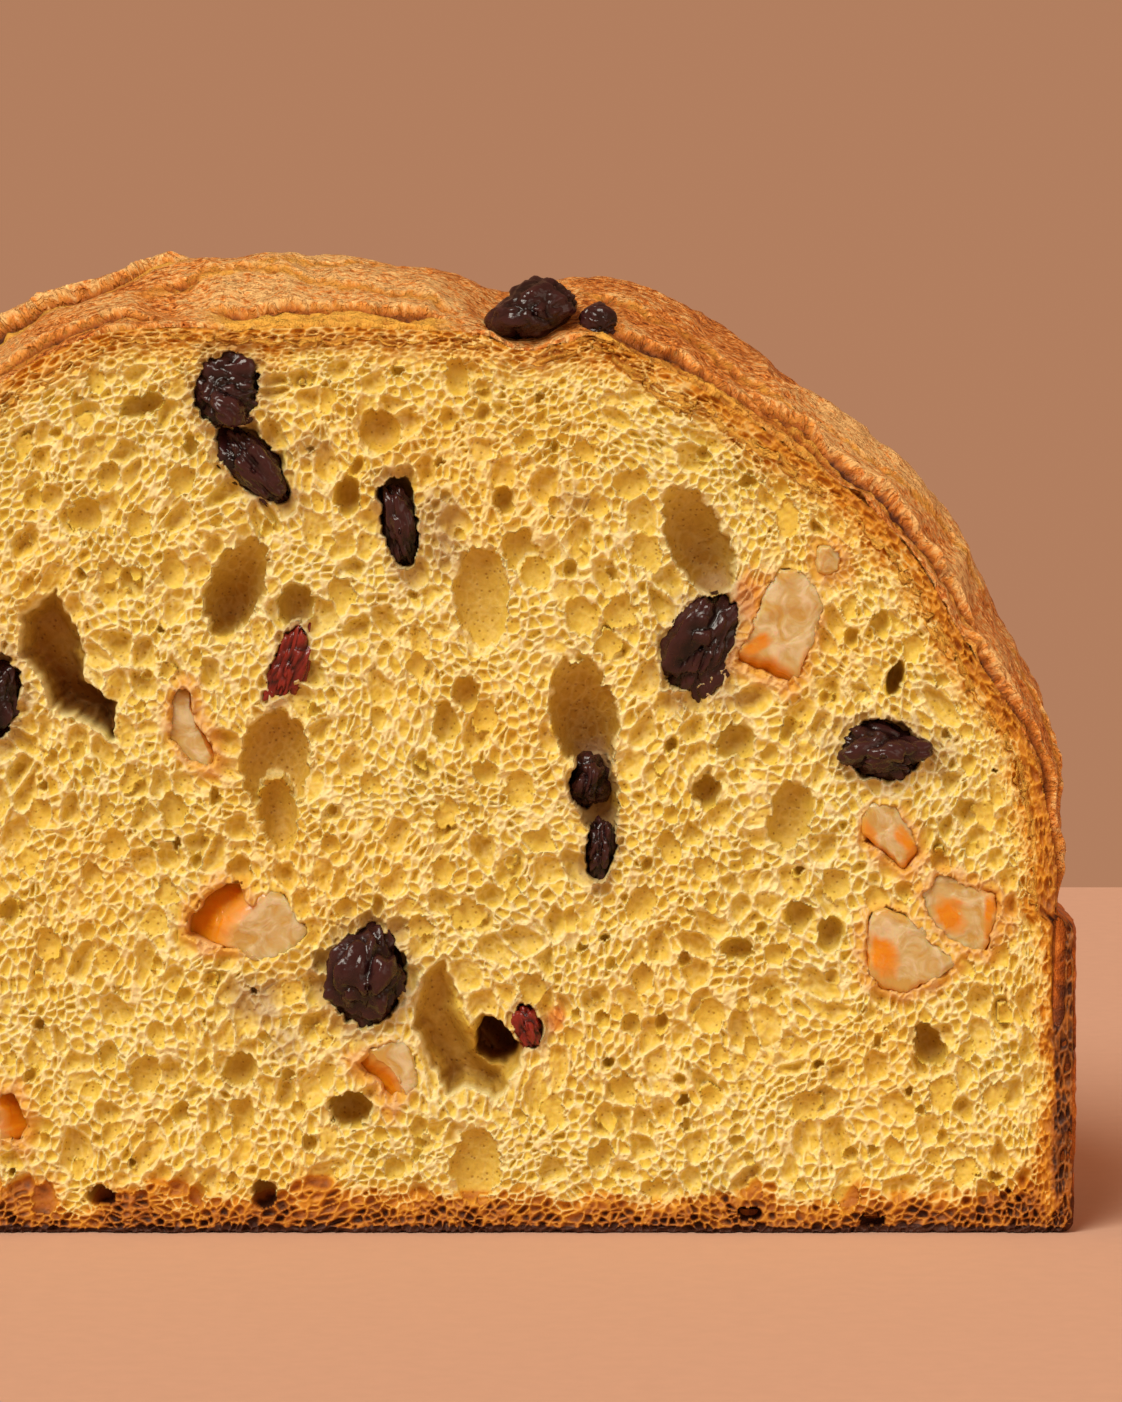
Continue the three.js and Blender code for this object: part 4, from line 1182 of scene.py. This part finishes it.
def makeCrustFront():
    # at every step round the arch, a closed loop: back over the skin, down, forwards under it
    # to the torn edge, and out over that edge's layers to the lip of the skin
    columns, rows, lipRows = crust["archColumns"], crust["bandRows"], crust["lipRows"]
    grids = skinGrid(archTurns, np.append(bandTurns, backTurns[1]))
    skin, height, normals = [grid[:, :-1] for grid in grids]
    edge = skin[:, 0]
    tangent = np.gradient(edge[:, [0, 2]], axis=0)
    tangent /= np.linalg.norm(tangent, axis=1, keepdims=True)
    inward = np.stack([-tangent[:, 1], 0 * tangent[:, 0], tangent[:, 0]], -1)[:, None]
    turn = archTurns[:, None]
    arc = turn * loaf["arcPerDegree"]
    ragged = 1 + 0.30 * roughNoise(arc / 1.7, 0.5, 0.5, 97) + 0.4 * noise(arc / 8, 3.5, 0.5, 99)
    right, left = smooth(74, 58, turn), smooth(112, 122, turn)  # where the torn edge is wider
    width = (crust["lipWidth"] + 1.3 * right + 0.8 * left) * np.clip(ragged, 0.35, 2.0)
    shares = np.linspace(0, 1, lipRows + 1)[1:]
    reach = width * shares
    # a groove inside the lip, then torn layers that run along the edge
    groove = 0.2 + 1.3 * right + 1.0 * left + 1.6 * smooth(42, 36, turn)
    groove = groove * (0.75 + 0.6 * noise(arc / 6, 5.5, 0.5, 101))
    layer = roughNoise(arc / 5.5, reach / 0.75 + noise(arc / 7, 1.5, 2.5, 103), 0.5, 105, 2)
    lip = edge[:, None] + inward * reach[..., None]
    lip[..., 0] += 0.25 * noise(arc / 1.2, reach / 1.2, 2.5, 107)
    lip[..., 2] += 0.25 * noise(arc / 1.2, reach / 1.2, 6.5, 109)
    lip[..., 1] = groove * hump(reach, 1.25, 0.7) + 0.35 * layer * smooth(0, 0.6, reach)
    # the corner between skin and torn edge is rounded off and eaten away by long open cells,
    # drawn out along the arch
    measure = np.concatenate([skin[..., 1], -reach], 1)
    cellDepth, cellEdge, _ = foam(arc / 2.6, measure / 0.95 + 20, 0.4, 171, 0.05)
    tornHere = np.concatenate([skinValues(skin, height)["torn"], np.ones(reach.shape)], 1)
    turnIn = smooth(2.0, -1.2, measure)[..., None] * math.pi / 2
    outward = -inward * np.cos(turnIn) + np.array([0, -1.0, 0]) * np.sin(turnIn)
    eaten = (crust["cellDepth"] * cellDepth - 0.25) * tornHere * smooth(26, 20, measure)
    eaten = eaten + crust["rounding"] * hump(measure, 0, 1.0)
    eatenAway = np.concatenate([skin, lip], 1) - outward * eaten[..., None]
    skin, lip = eatenAway[:, :rows], eatenAway[:, rows:]
    lip[:, -1, 1] = 2.0
    # out of sight: a place under the skin's far end, and two behind the torn edge
    under = skin[:, -1:].copy()
    under[..., [0, 2]] = mix(under[..., [0, 2]], np.array([0, loaf["domeStart"]]), 0.04)
    inner = np.repeat(lip[:, -1:], 2, axis=1)
    inner[..., 1] = [12.0, 4.0]
    loop = np.concatenate([skin, under, inner, lip[:, ::-1]], 1)
    loop[[0, -1], :, 2] = crust["skinEnd"]
    count = loop.shape[1]
    faces, places = gridFaces(columns, count, wrapColumns=True)
    caps = [np.arange(count)[None], ((columns - 1) * count + np.arange(count))[None, ::-1]]
    rest = np.zeros((columns, count - rows))
    values = {key: np.concatenate([value, rest], 1) for key, value in skinValues(skin, height).items()}
    values["along"][:, rows:] = arc
    values["back"][:, -lipRows:] = -reach[:, ::-1]
    values["torn"][:, rows:] = 1
    # the hollows of the open cells are painted darker and their walls lighter: painted shade and painted
    # highlight
    paintedShading = 0.22 * np.clip(cellDepth, 0, 1.2) - 0.14 * smooth(0.30, 0.10, cellEdge)
    values["brownAndShade"][:, :rows] += (paintedShading * tornHere)[:, :rows]
    # the torn edge is painted darker the further back it lies and in the groove behind the lip: painted
    # shade
    deep = 0.30 + 0.16 * lip[..., 1] + 0.25 * hump(reach, 1.25, 0.6) - 0.14 * shares + paintedShading[:, rows:]
    values["brownAndShade"][:, -lipRows:] = np.clip(deep, 0.0, 0.95)[:, ::-1]
    loopNormals = gridNormals(np.concatenate([loop[:, -1:], loop, loop[:, :1]], 1))[:, 1:-1]
    loopNormals *= np.sign((loopNormals[:, 20] * normals[:, 20]).sum(-1).mean())
    loopNormals[:, rows - 1] = normals[:, -1]
    makePiece("crust_front", loop.reshape(-1, 3), [faces, *caps], crustStuff, "bread",
              values, [places, *flatPlaces(*caps)], loopNormals.reshape(-1, 3))


def makeCrustBack():
    # the rest of the dome, from the front band to the back, closed below and in front
    turns = archTurns[::2].copy()
    turns[-1] = 180
    columns, rows = len(turns), crust["backRows"] - 1
    grids = skinGrid(turns, np.concatenate([bandTurns[-2:-1], backTurns[:-1]]))
    skin, height, normals = [grid[:, 1:] for grid in grids]
    skin[[0, -1], :, 2] = crust["skinEnd"]
    pole = domePoints(np.array([90.0]), np.array([90.0]), crustDetail)
    points = np.concatenate([skin.reshape(-1, 3), pole])
    faces, places = gridFaces(columns, rows)
    end = columns * rows
    index = np.arange(end).reshape(columns, rows)
    hidden = [
        np.stack([index[1:, -1], np.full(columns - 1, end), index[:-1, -1]], -1),  # to the pole
        np.concatenate([index[-1], [end], index[0, ::-1]])[None],  # below
        index[:, 0][None],  # in front
    ]
    values = {key: np.append(value, value.mean()) for key, value in skinValues(skin, height).items()}
    makePiece("crust_back", points, [faces, *hidden], crustStuff, "bread", values,
              [places, *flatPlaces(*hidden)], np.concatenate([normals.reshape(-1, 3), [[0, 1, 0]]]))


def makeCrustWall():
    # the straight wall and the base: a half tin, its outline carried round from right to left
    columns, axis = crust["wallColumns"], loaf["axisBehindCut"]
    # the turn about the loaf's axis, from the cut's right edge round the back to its left edge
    start = -math.asin(axis / loaf["wallRadius"])
    turn = start + np.linspace(0, 1, columns) * (math.pi - 2 * start)
    foot = 2 - 2 * np.sin(np.linspace(0, 1, 6)[1:] * math.pi / 2)
    rise = np.concatenate([np.linspace(47, 2.2, 66), foot])
    t, z = np.meshgrid(turn, rise, indexing="ij")
    z = z + 1.3 * roughNoise(t * 9, 0.5, 0.5, 115) * smooth(32, 42, z) * smooth(47, 45.4, z)
    fold = roughNoise(t * 40, z / 24, 0.5, 111, 2)
    grain = roughNoise(t * 100 / 1.3, z / 1.6, 2.5, 113)
    pits = np.maximum(roughNoise(t * 100 / 3.4, z / 2.6, 4.5, 117, 2) - 0.35, 0)
    relief = crust["wallFolds"] * fold + crust["wallGrain"] * grain - crust["wallPits"] * pits
    relief = relief * smooth(0, 4, z) * smooth(47, 43, z)
    out = wallRadius(rise) + relief - 0.3 * smooth(43, 47, z)
    skin = np.stack([out * np.cos(t), axis + out * np.sin(t), z], -1)
    under = skin[:, -1:] * np.linspace(1, 0, 30)[1:-1, None]
    underGrain = roughNoise(under[..., 0] / 2.5, under[..., 1] / 2.5, 0.5, 119)
    under[..., 2] = np.maximum(0.12 + 0.12 * underGrain, 0.02)
    r = loaf["wallRadius"] - crust["thickness"]
    lining = [np.stack([r * np.cos(turn), axis + r * np.sin(turn), 0 * turn + h], -1) for h in (3.0, 46.5)]
    ring = np.concatenate([skin, under], 1)
    count = ring.shape[1]
    points = np.concatenate([
        ring.reshape(-1, 3), np.stack(lining, 1).reshape(-1, 3), [[0.0, 0.0, 0.12], [0.0, 0.0, 3.0]],
    ])
    # all of it stays behind the cut
    points[:, 1] = np.maximum(points[:, 1], 0.35 + 5 * smooth(98, 94, np.abs(points[:, 0])))
    x, y = points[:, 0], points[:, 1]
    faces, places = gridFaces(columns, count)
    outer = np.arange(columns * count).reshape(columns, count)
    inner = outer.size + np.arange(2 * columns).reshape(columns, 2)
    hubs = [len(points) - 2, len(points) - 1]
    low, high = [np.full(columns - 1, hub) for hub in hubs]
    strips = [
        [outer[1:, -1], low, outer[:-1, -1]],
        [high, inner[1:, 0], inner[:-1, 0]],
        [inner[1:, 0], inner[1:, 1], inner[:-1, 1], inner[:-1, 0]],
        [inner[:-1, 1], inner[1:, 1], outer[1:, 0], outer[:-1, 0]],
    ]
    caps = [np.concatenate([outer[k], hubs, inner[k]])[None] for k in (0, -1)]
    hidden = [*(np.stack(strip, -1) for strip in strips), caps[0][:, ::-1], caps[1]]
    brownAndShade, along = np.full(len(points), 0.6), np.zeros(len(points))
    brownAndShade[outer] = 0.86
    onWall = outer[:, :len(rise)]
    # the wall's deep brown is partly its own crust and partly painted shade; the pits are painted darker
    # as shade and the raised folds lighter as a highlight; darker towards the base and lighter at the top
    brownAndShade[onWall] = 0.66 + 0.5 * pits + 0.12 * smooth(30, 4, z) - 0.07 * fold - 0.12 * smooth(40, 47, z)
    along[onWall] = z
    values = dict(brownAndShade=brownAndShade, along=along, back=0.7 * (x + y) + 200, height=0.7 * (y - x), torn=0 * x)
    makePiece("crust_wall", points, [faces, *hidden], crustStuff, "bread", values,
              [places, *flatPlaces(*hidden)])


makeCrustFront()
makeCrustBack()
makeCrustWall()
print("crust made")


# Raisins

raisinShape = dict(around=88, along=56, planes=12, lumps=0.09, folds=0.36, creases=0.15, wrinkles=0.045)


def leaned(x, z, lean):
    # two measures turned to the right by the lean, in degrees
    c, s = math.cos(math.radians(lean)), math.sin(math.radians(lean))
    return x * c + z * s, z * c - x * s


def makeRaisin(name, place, number):
    # a ball of radius 1 shrunk to flat sides (the 12th root of the sum of each side's share to
    # the power 12), with swollen folds between sharp creases (the size of bent lattice noise is 0
    # along them), three sheets of them; then stretched to its three sizes, leaned and set down
    cx, cy, cz, width, deep, height, lean = place
    around, along = raisinShape["around"], raisinShape["along"]
    u = np.arange(around) / around * 2 * math.pi
    v = np.linspace(0, math.pi, along + 2)[1:-1]
    u, v = np.meshgrid(u, v, indexing="ij")
    ball = np.stack([np.sin(v) * np.cos(u), -np.cos(v), np.sin(v) * np.sin(u)], -1)
    every = np.concatenate([ball.reshape(-1, 3), [[0.0, -1.0, 0.0], [0.0, 1.0, 0.0]]])
    # folds run along the raisin's longer side
    x, y, z = (every * ([1.25, 1, 0.7] if height > width else [0.7, 1, 1.25])).T
    x = x + number * 7.3
    bend = [0.55 * noise(x * 1.5, y * 1.5, z * 1.5, 131 + k) for k in range(3)]
    big = np.abs(noise((x + bend[0]) * 1.8, (y + bend[1]) * 1.8, (z + bend[2]) * 1.8, 135)) ** 0.6
    mid = np.abs(noise((x + bend[1]) * 4.3, (y + bend[2]) * 4.3, (z + bend[0]) * 4.3, 137)) ** 0.8
    small = np.abs(noise(x * 9 + bend[0] * 5, y * 9, z * 9 + bend[1] * 5, 139))
    lump = noise(x * 1.2, y * 1.2, z * 1.2, 141)
    folds = raisinShape["folds"] * big + raisinShape["creases"] * mid + raisinShape["wrinkles"] * small
    if name.startswith("raisin_on_crust"):
        folds = 0.05 + 0.7 * folds
    random = np.random.default_rng(900 + number)
    planes = random.normal(size=(raisinShape["planes"], 3))
    planes /= np.linalg.norm(planes, axis=1, keepdims=True) * random.uniform(0.72, 1.0, (len(planes), 1))
    sides = (np.maximum(every @ planes.T, 0) ** 12).sum(1) + 1.1 ** -12
    radius = sides ** (-1 / 12) * (0.84 + folds) + raisinShape["lumps"] * lump
    shape = every * radius[:, None] * np.array([width / 2, deep / 2, height / 2])
    x, z = leaned(shape[:, 0], shape[:, 2], lean)
    points = np.stack([x + cx, shape[:, 1] + cy, z + cz], -1)
    faces, places = gridFaces(around, along, wrapRows=True)
    count = around * along
    index = np.arange(count).reshape(around, along)
    tips = [closedTip(index[:, 0], count)[:, ::-1], closedTip(index[:, -1], count + 1)]
    # by the folds' height: painted shade in the creases, painted highlight on the ridges
    ridgeLightCreaseShade = np.clip(folds * 3.2 - 0.1, 0, 1)
    stuff, slot = (redRaisinStuff, "raisin_red") if name in redRaisins else (raisinStuff, "raisin")
    makePiece(name + "_wrinkled", points, [faces, *tips], stuff, name,
              dict(ridgeLightCreaseShade=ridgeLightCreaseShade), [places, *flatPlaces(*tips)])


for number, (name, place) in enumerate(raisins.items()):
    makeRaisin(name, place, number)
print("raisins made")


# Candied peel

peelShape = dict(around=150, rings=20, corner=0.45, facets=0.5)


def makePeel(name, peel, number):
    # rings from the middle of the face to its rounded edge, over the edge, down the slope of the
    # skin and back to a closed end; the rings' outline is the polygon with its corners rounded
    around = peelShape["around"]
    corners = np.array(peel["corners"])
    middle = corners.mean(0)
    loop = np.concatenate([corners, corners[:1]])
    lengths = np.concatenate([[0], np.cumsum(np.linalg.norm(np.diff(loop, axis=0), axis=1))])
    walk = np.arange(around) / around * lengths[-1]
    line = np.stack([np.interp(walk, lengths, loop[:, k]) for k in range(2)], -1)
    # round the corners: an average over a short stretch of the outline
    reach = max(1, int(round(peelShape["corner"] / lengths[-1] * around)))
    line = sum(np.roll(line, s, axis=0) for s in range(-reach, reach + 1)) / (2 * reach + 1)
    wobble = 0.34 * roughNoise(line[:, 0] / 2.1 + number * 9, line[:, 1] / 2.1, 0.5, 151)
    tangent = np.roll(line, -1, axis=0) - np.roll(line, 1, axis=0)
    tangent /= np.linalg.norm(tangent, axis=1, keepdims=True)
    outward = np.stack([tangent[:, 1], -tangent[:, 0]], -1)
    outward *= np.sign((outward * (line - middle)).sum(1).mean())
    line = line + outward * wobble[:, None]
    skin = np.array(peel["skin"], float)
    along = (line - middle) @ skin
    slide = smooth(-0.1, 0.5, along / along.max())
    slope = slide[:, None] * skin
    front, drop, depth = peel["front"], peel["drop"], peel["depth"]
    rings, ys, skins = [], [], []

    def addRing(ring, y, share):
        # one more ring, how deep it lies, and how much of the orange skin it shows
        rings.append(ring)
        ys.append(y + 0 * slide)
        skins.append(share + 0 * slide)

    for share in np.linspace(0, 1, peelShape["rings"])[1:]:
        ring = middle + (line - middle) * share - outward * 0.15 * smooth(0.6, 1, share)
        y = front + 0.22 * smooth(0.86, 1.0, share) ** 2
        addRing(ring, y, 0.12 + 0.35 * slide * smooth(0.7, 1, share))
    for share in np.linspace(0, 1, 10)[1:]:
        ring = line + outward * (0.1 - 0.25 * (1 - share) ** 2) + slope * share
        rise = math.sin(share * math.pi / 2) ** 1.3
        y = front + 0.22 + slide * (drop - 0.3) * rise + 0.6 * share
        addRing(ring, y, 0.12 + slide * (0.4 + 0.6 * share))
    for share in (0.3, 0.6, 1.0):
        ring = line + outward * (0.1 - 0.4 * share) + slope
        addRing(ring, mix(front + 0.82 + slide * (drop - 0.3), depth, share), 0.2 + 0.8 * slide)
    rings, ys, skins = np.array(rings), np.array(ys), np.array(skins)
    x, z = rings[..., 0], rings[..., 1]
    bumps = 0.10 * roughNoise(x / 1.6, z / 1.6, ys / 1.5 + number * 5, 157)
    # the face is broken into a few flat facets: the size of broad lattice noise
    facets = peelShape["facets"] * np.abs(noise(x / 4.2 + number * 3, z / 4.2, 0.5, 159))
    y = ys + (bumps + facets) * smooth(depth, depth * 0.5, ys)
    for sx, sz, wide, high, lean in peel.get("spots", []):
        across, up = leaned(x - sx, z - sz, -lean)
        far = np.hypot(across / wide, up / high) + 0.25 * roughNoise(x / 1.5, z / 1.5, 2.5, 153, 2)
        skins = np.maximum(skins, 0.72 * smooth(1.35, 0.35, far))
    ends = [[middle[0], front, middle[1]], [middle[0], depth, middle[1]]]
    points = np.concatenate([np.stack([x, y, z], -1).reshape(-1, 3), ends])
    faces, places = gridFaces(len(rings), around, wrapColumns=True)
    index, hub = np.arange(x.size).reshape(x.shape), x.size
    tips = [closedTip(index[0], hub)[:, ::-1], closedTip(index[-1], hub + 1)]
    values = np.concatenate([skins.ravel(), [0.12, 0.5]])
    makePiece(name + "_candied", points, [faces, *tips], peelStuff, name,
              dict(skin=values), [places, *flatPlaces(*tips)])


for number, (name, peel) in enumerate(peels.items()):
    makePeel(name, peel, number)
print("peel made")


# Floor, light and camera

stageLook = dict(
    floor=(0.66, 0.42, 0.30),
    floorBehind=0.461,  # metres from the cut to the floor's far edge
    world=(0.72, 0.34, 0.185),
    worldStrength=0.62,
    keyPower=2.5,
    keySoftness=32,  # degrees
    keyFrom=(-0.42, -0.62, 0.80),
    keyAt=(0, 0, 0),
    keyColour=(1.0, 0.95, 0.84),
    fillPower=1.6,
    fillSize=0.7,  # metres
    fillFrom=(0.8, -0.9, 0.30),
    fillAt=(0.02, 0, 0.06),
    fillColour=(1.0, 0.86, 0.72),
)


def aim(holder, place, target):
    way = Vector(target) - Vector(place)
    holder.location = place
    holder.rotation_euler = way.to_track_quat("-Z", "Y").to_euler()


def makeFloor():
    size, back = 3.0, cutPlane + stageLook["floorBehind"]
    mesh = bpy.data.meshes.new("floor")
    corners = [(-size, -size, 0), (size, -size, 0), (size, back, 0), (-size, back, 0)]
    mesh.from_pydata(corners, [], [(0, 1, 2, 3)])
    n = Stuff("floor")
    low = tuple(0.96 * c for c in stageLook["floor"])
    colour = n.ramp(n.noise(n.place(), 300), [(0.3, low), (0.7, stageLook["floor"])])
    n.join(n.shader, {"Base Color": colour, "Roughness": 0.9})
    mesh.materials.append(n.material)
    newObject("floor", mesh)


def makeWorld():
    world = bpy.data.worlds.new("studio")
    world.use_nodes = True
    background = world.node_tree.nodes["Background"]
    background.inputs["Color"].default_value = (*stageLook["world"], 1)
    background.inputs["Strength"].default_value = stageLook["worldStrength"]
    bpy.context.scene.world = world


def makeLight(name, kind):
    # a soft light, with the power, place, target and colour given for its name
    lamp = bpy.data.lights.new(name, kind)
    lamp.energy = stageLook[name + "Power"]
    lamp.color = stageLook[name + "Colour"]
    aim(newObject(name, lamp), stageLook[name + "From"], stageLook[name + "At"])
    return lamp


makeFloor()
makeWorld()
# a wide sun gives the soft light from above on the left, the same at any distance
makeLight("key", "SUN").angle = math.radians(stageLook["keySoftness"])
makeLight("fill", "AREA").size = stageLook["fillSize"]

view = dict(
    target=(0.027, cutPlane, 0.0768),
    distance=0.9,
    elevation=4.5,
    pixelsUp=1402,
    focalPixels=6299.0,
)


def makeCamera():
    # the camera looks at the target from the front, a little above it; its lens gives the
    # photograph's frame, 1402 pixels high
    lens = bpy.data.cameras.new("camera")
    lens.sensor_fit = "VERTICAL"
    lens.sensor_height = 24
    lens.lens = view["focalPixels"] * lens.sensor_height / view["pixelsUp"]
    lens.clip_start = 0.05
    holder = newObject("camera", lens)
    rise = math.radians(view["elevation"])
    x, y, z = view["target"]
    place = (x, y - view["distance"] * math.cos(rise), z + view["distance"] * math.sin(rise))
    aim(holder, place, view["target"])
    bpy.context.scene.camera = holder


makeCamera()
settings = bpy.context.scene.view_settings
settings.view_transform = "Standard"
settings.look = "None"
print("stage, light and camera made")
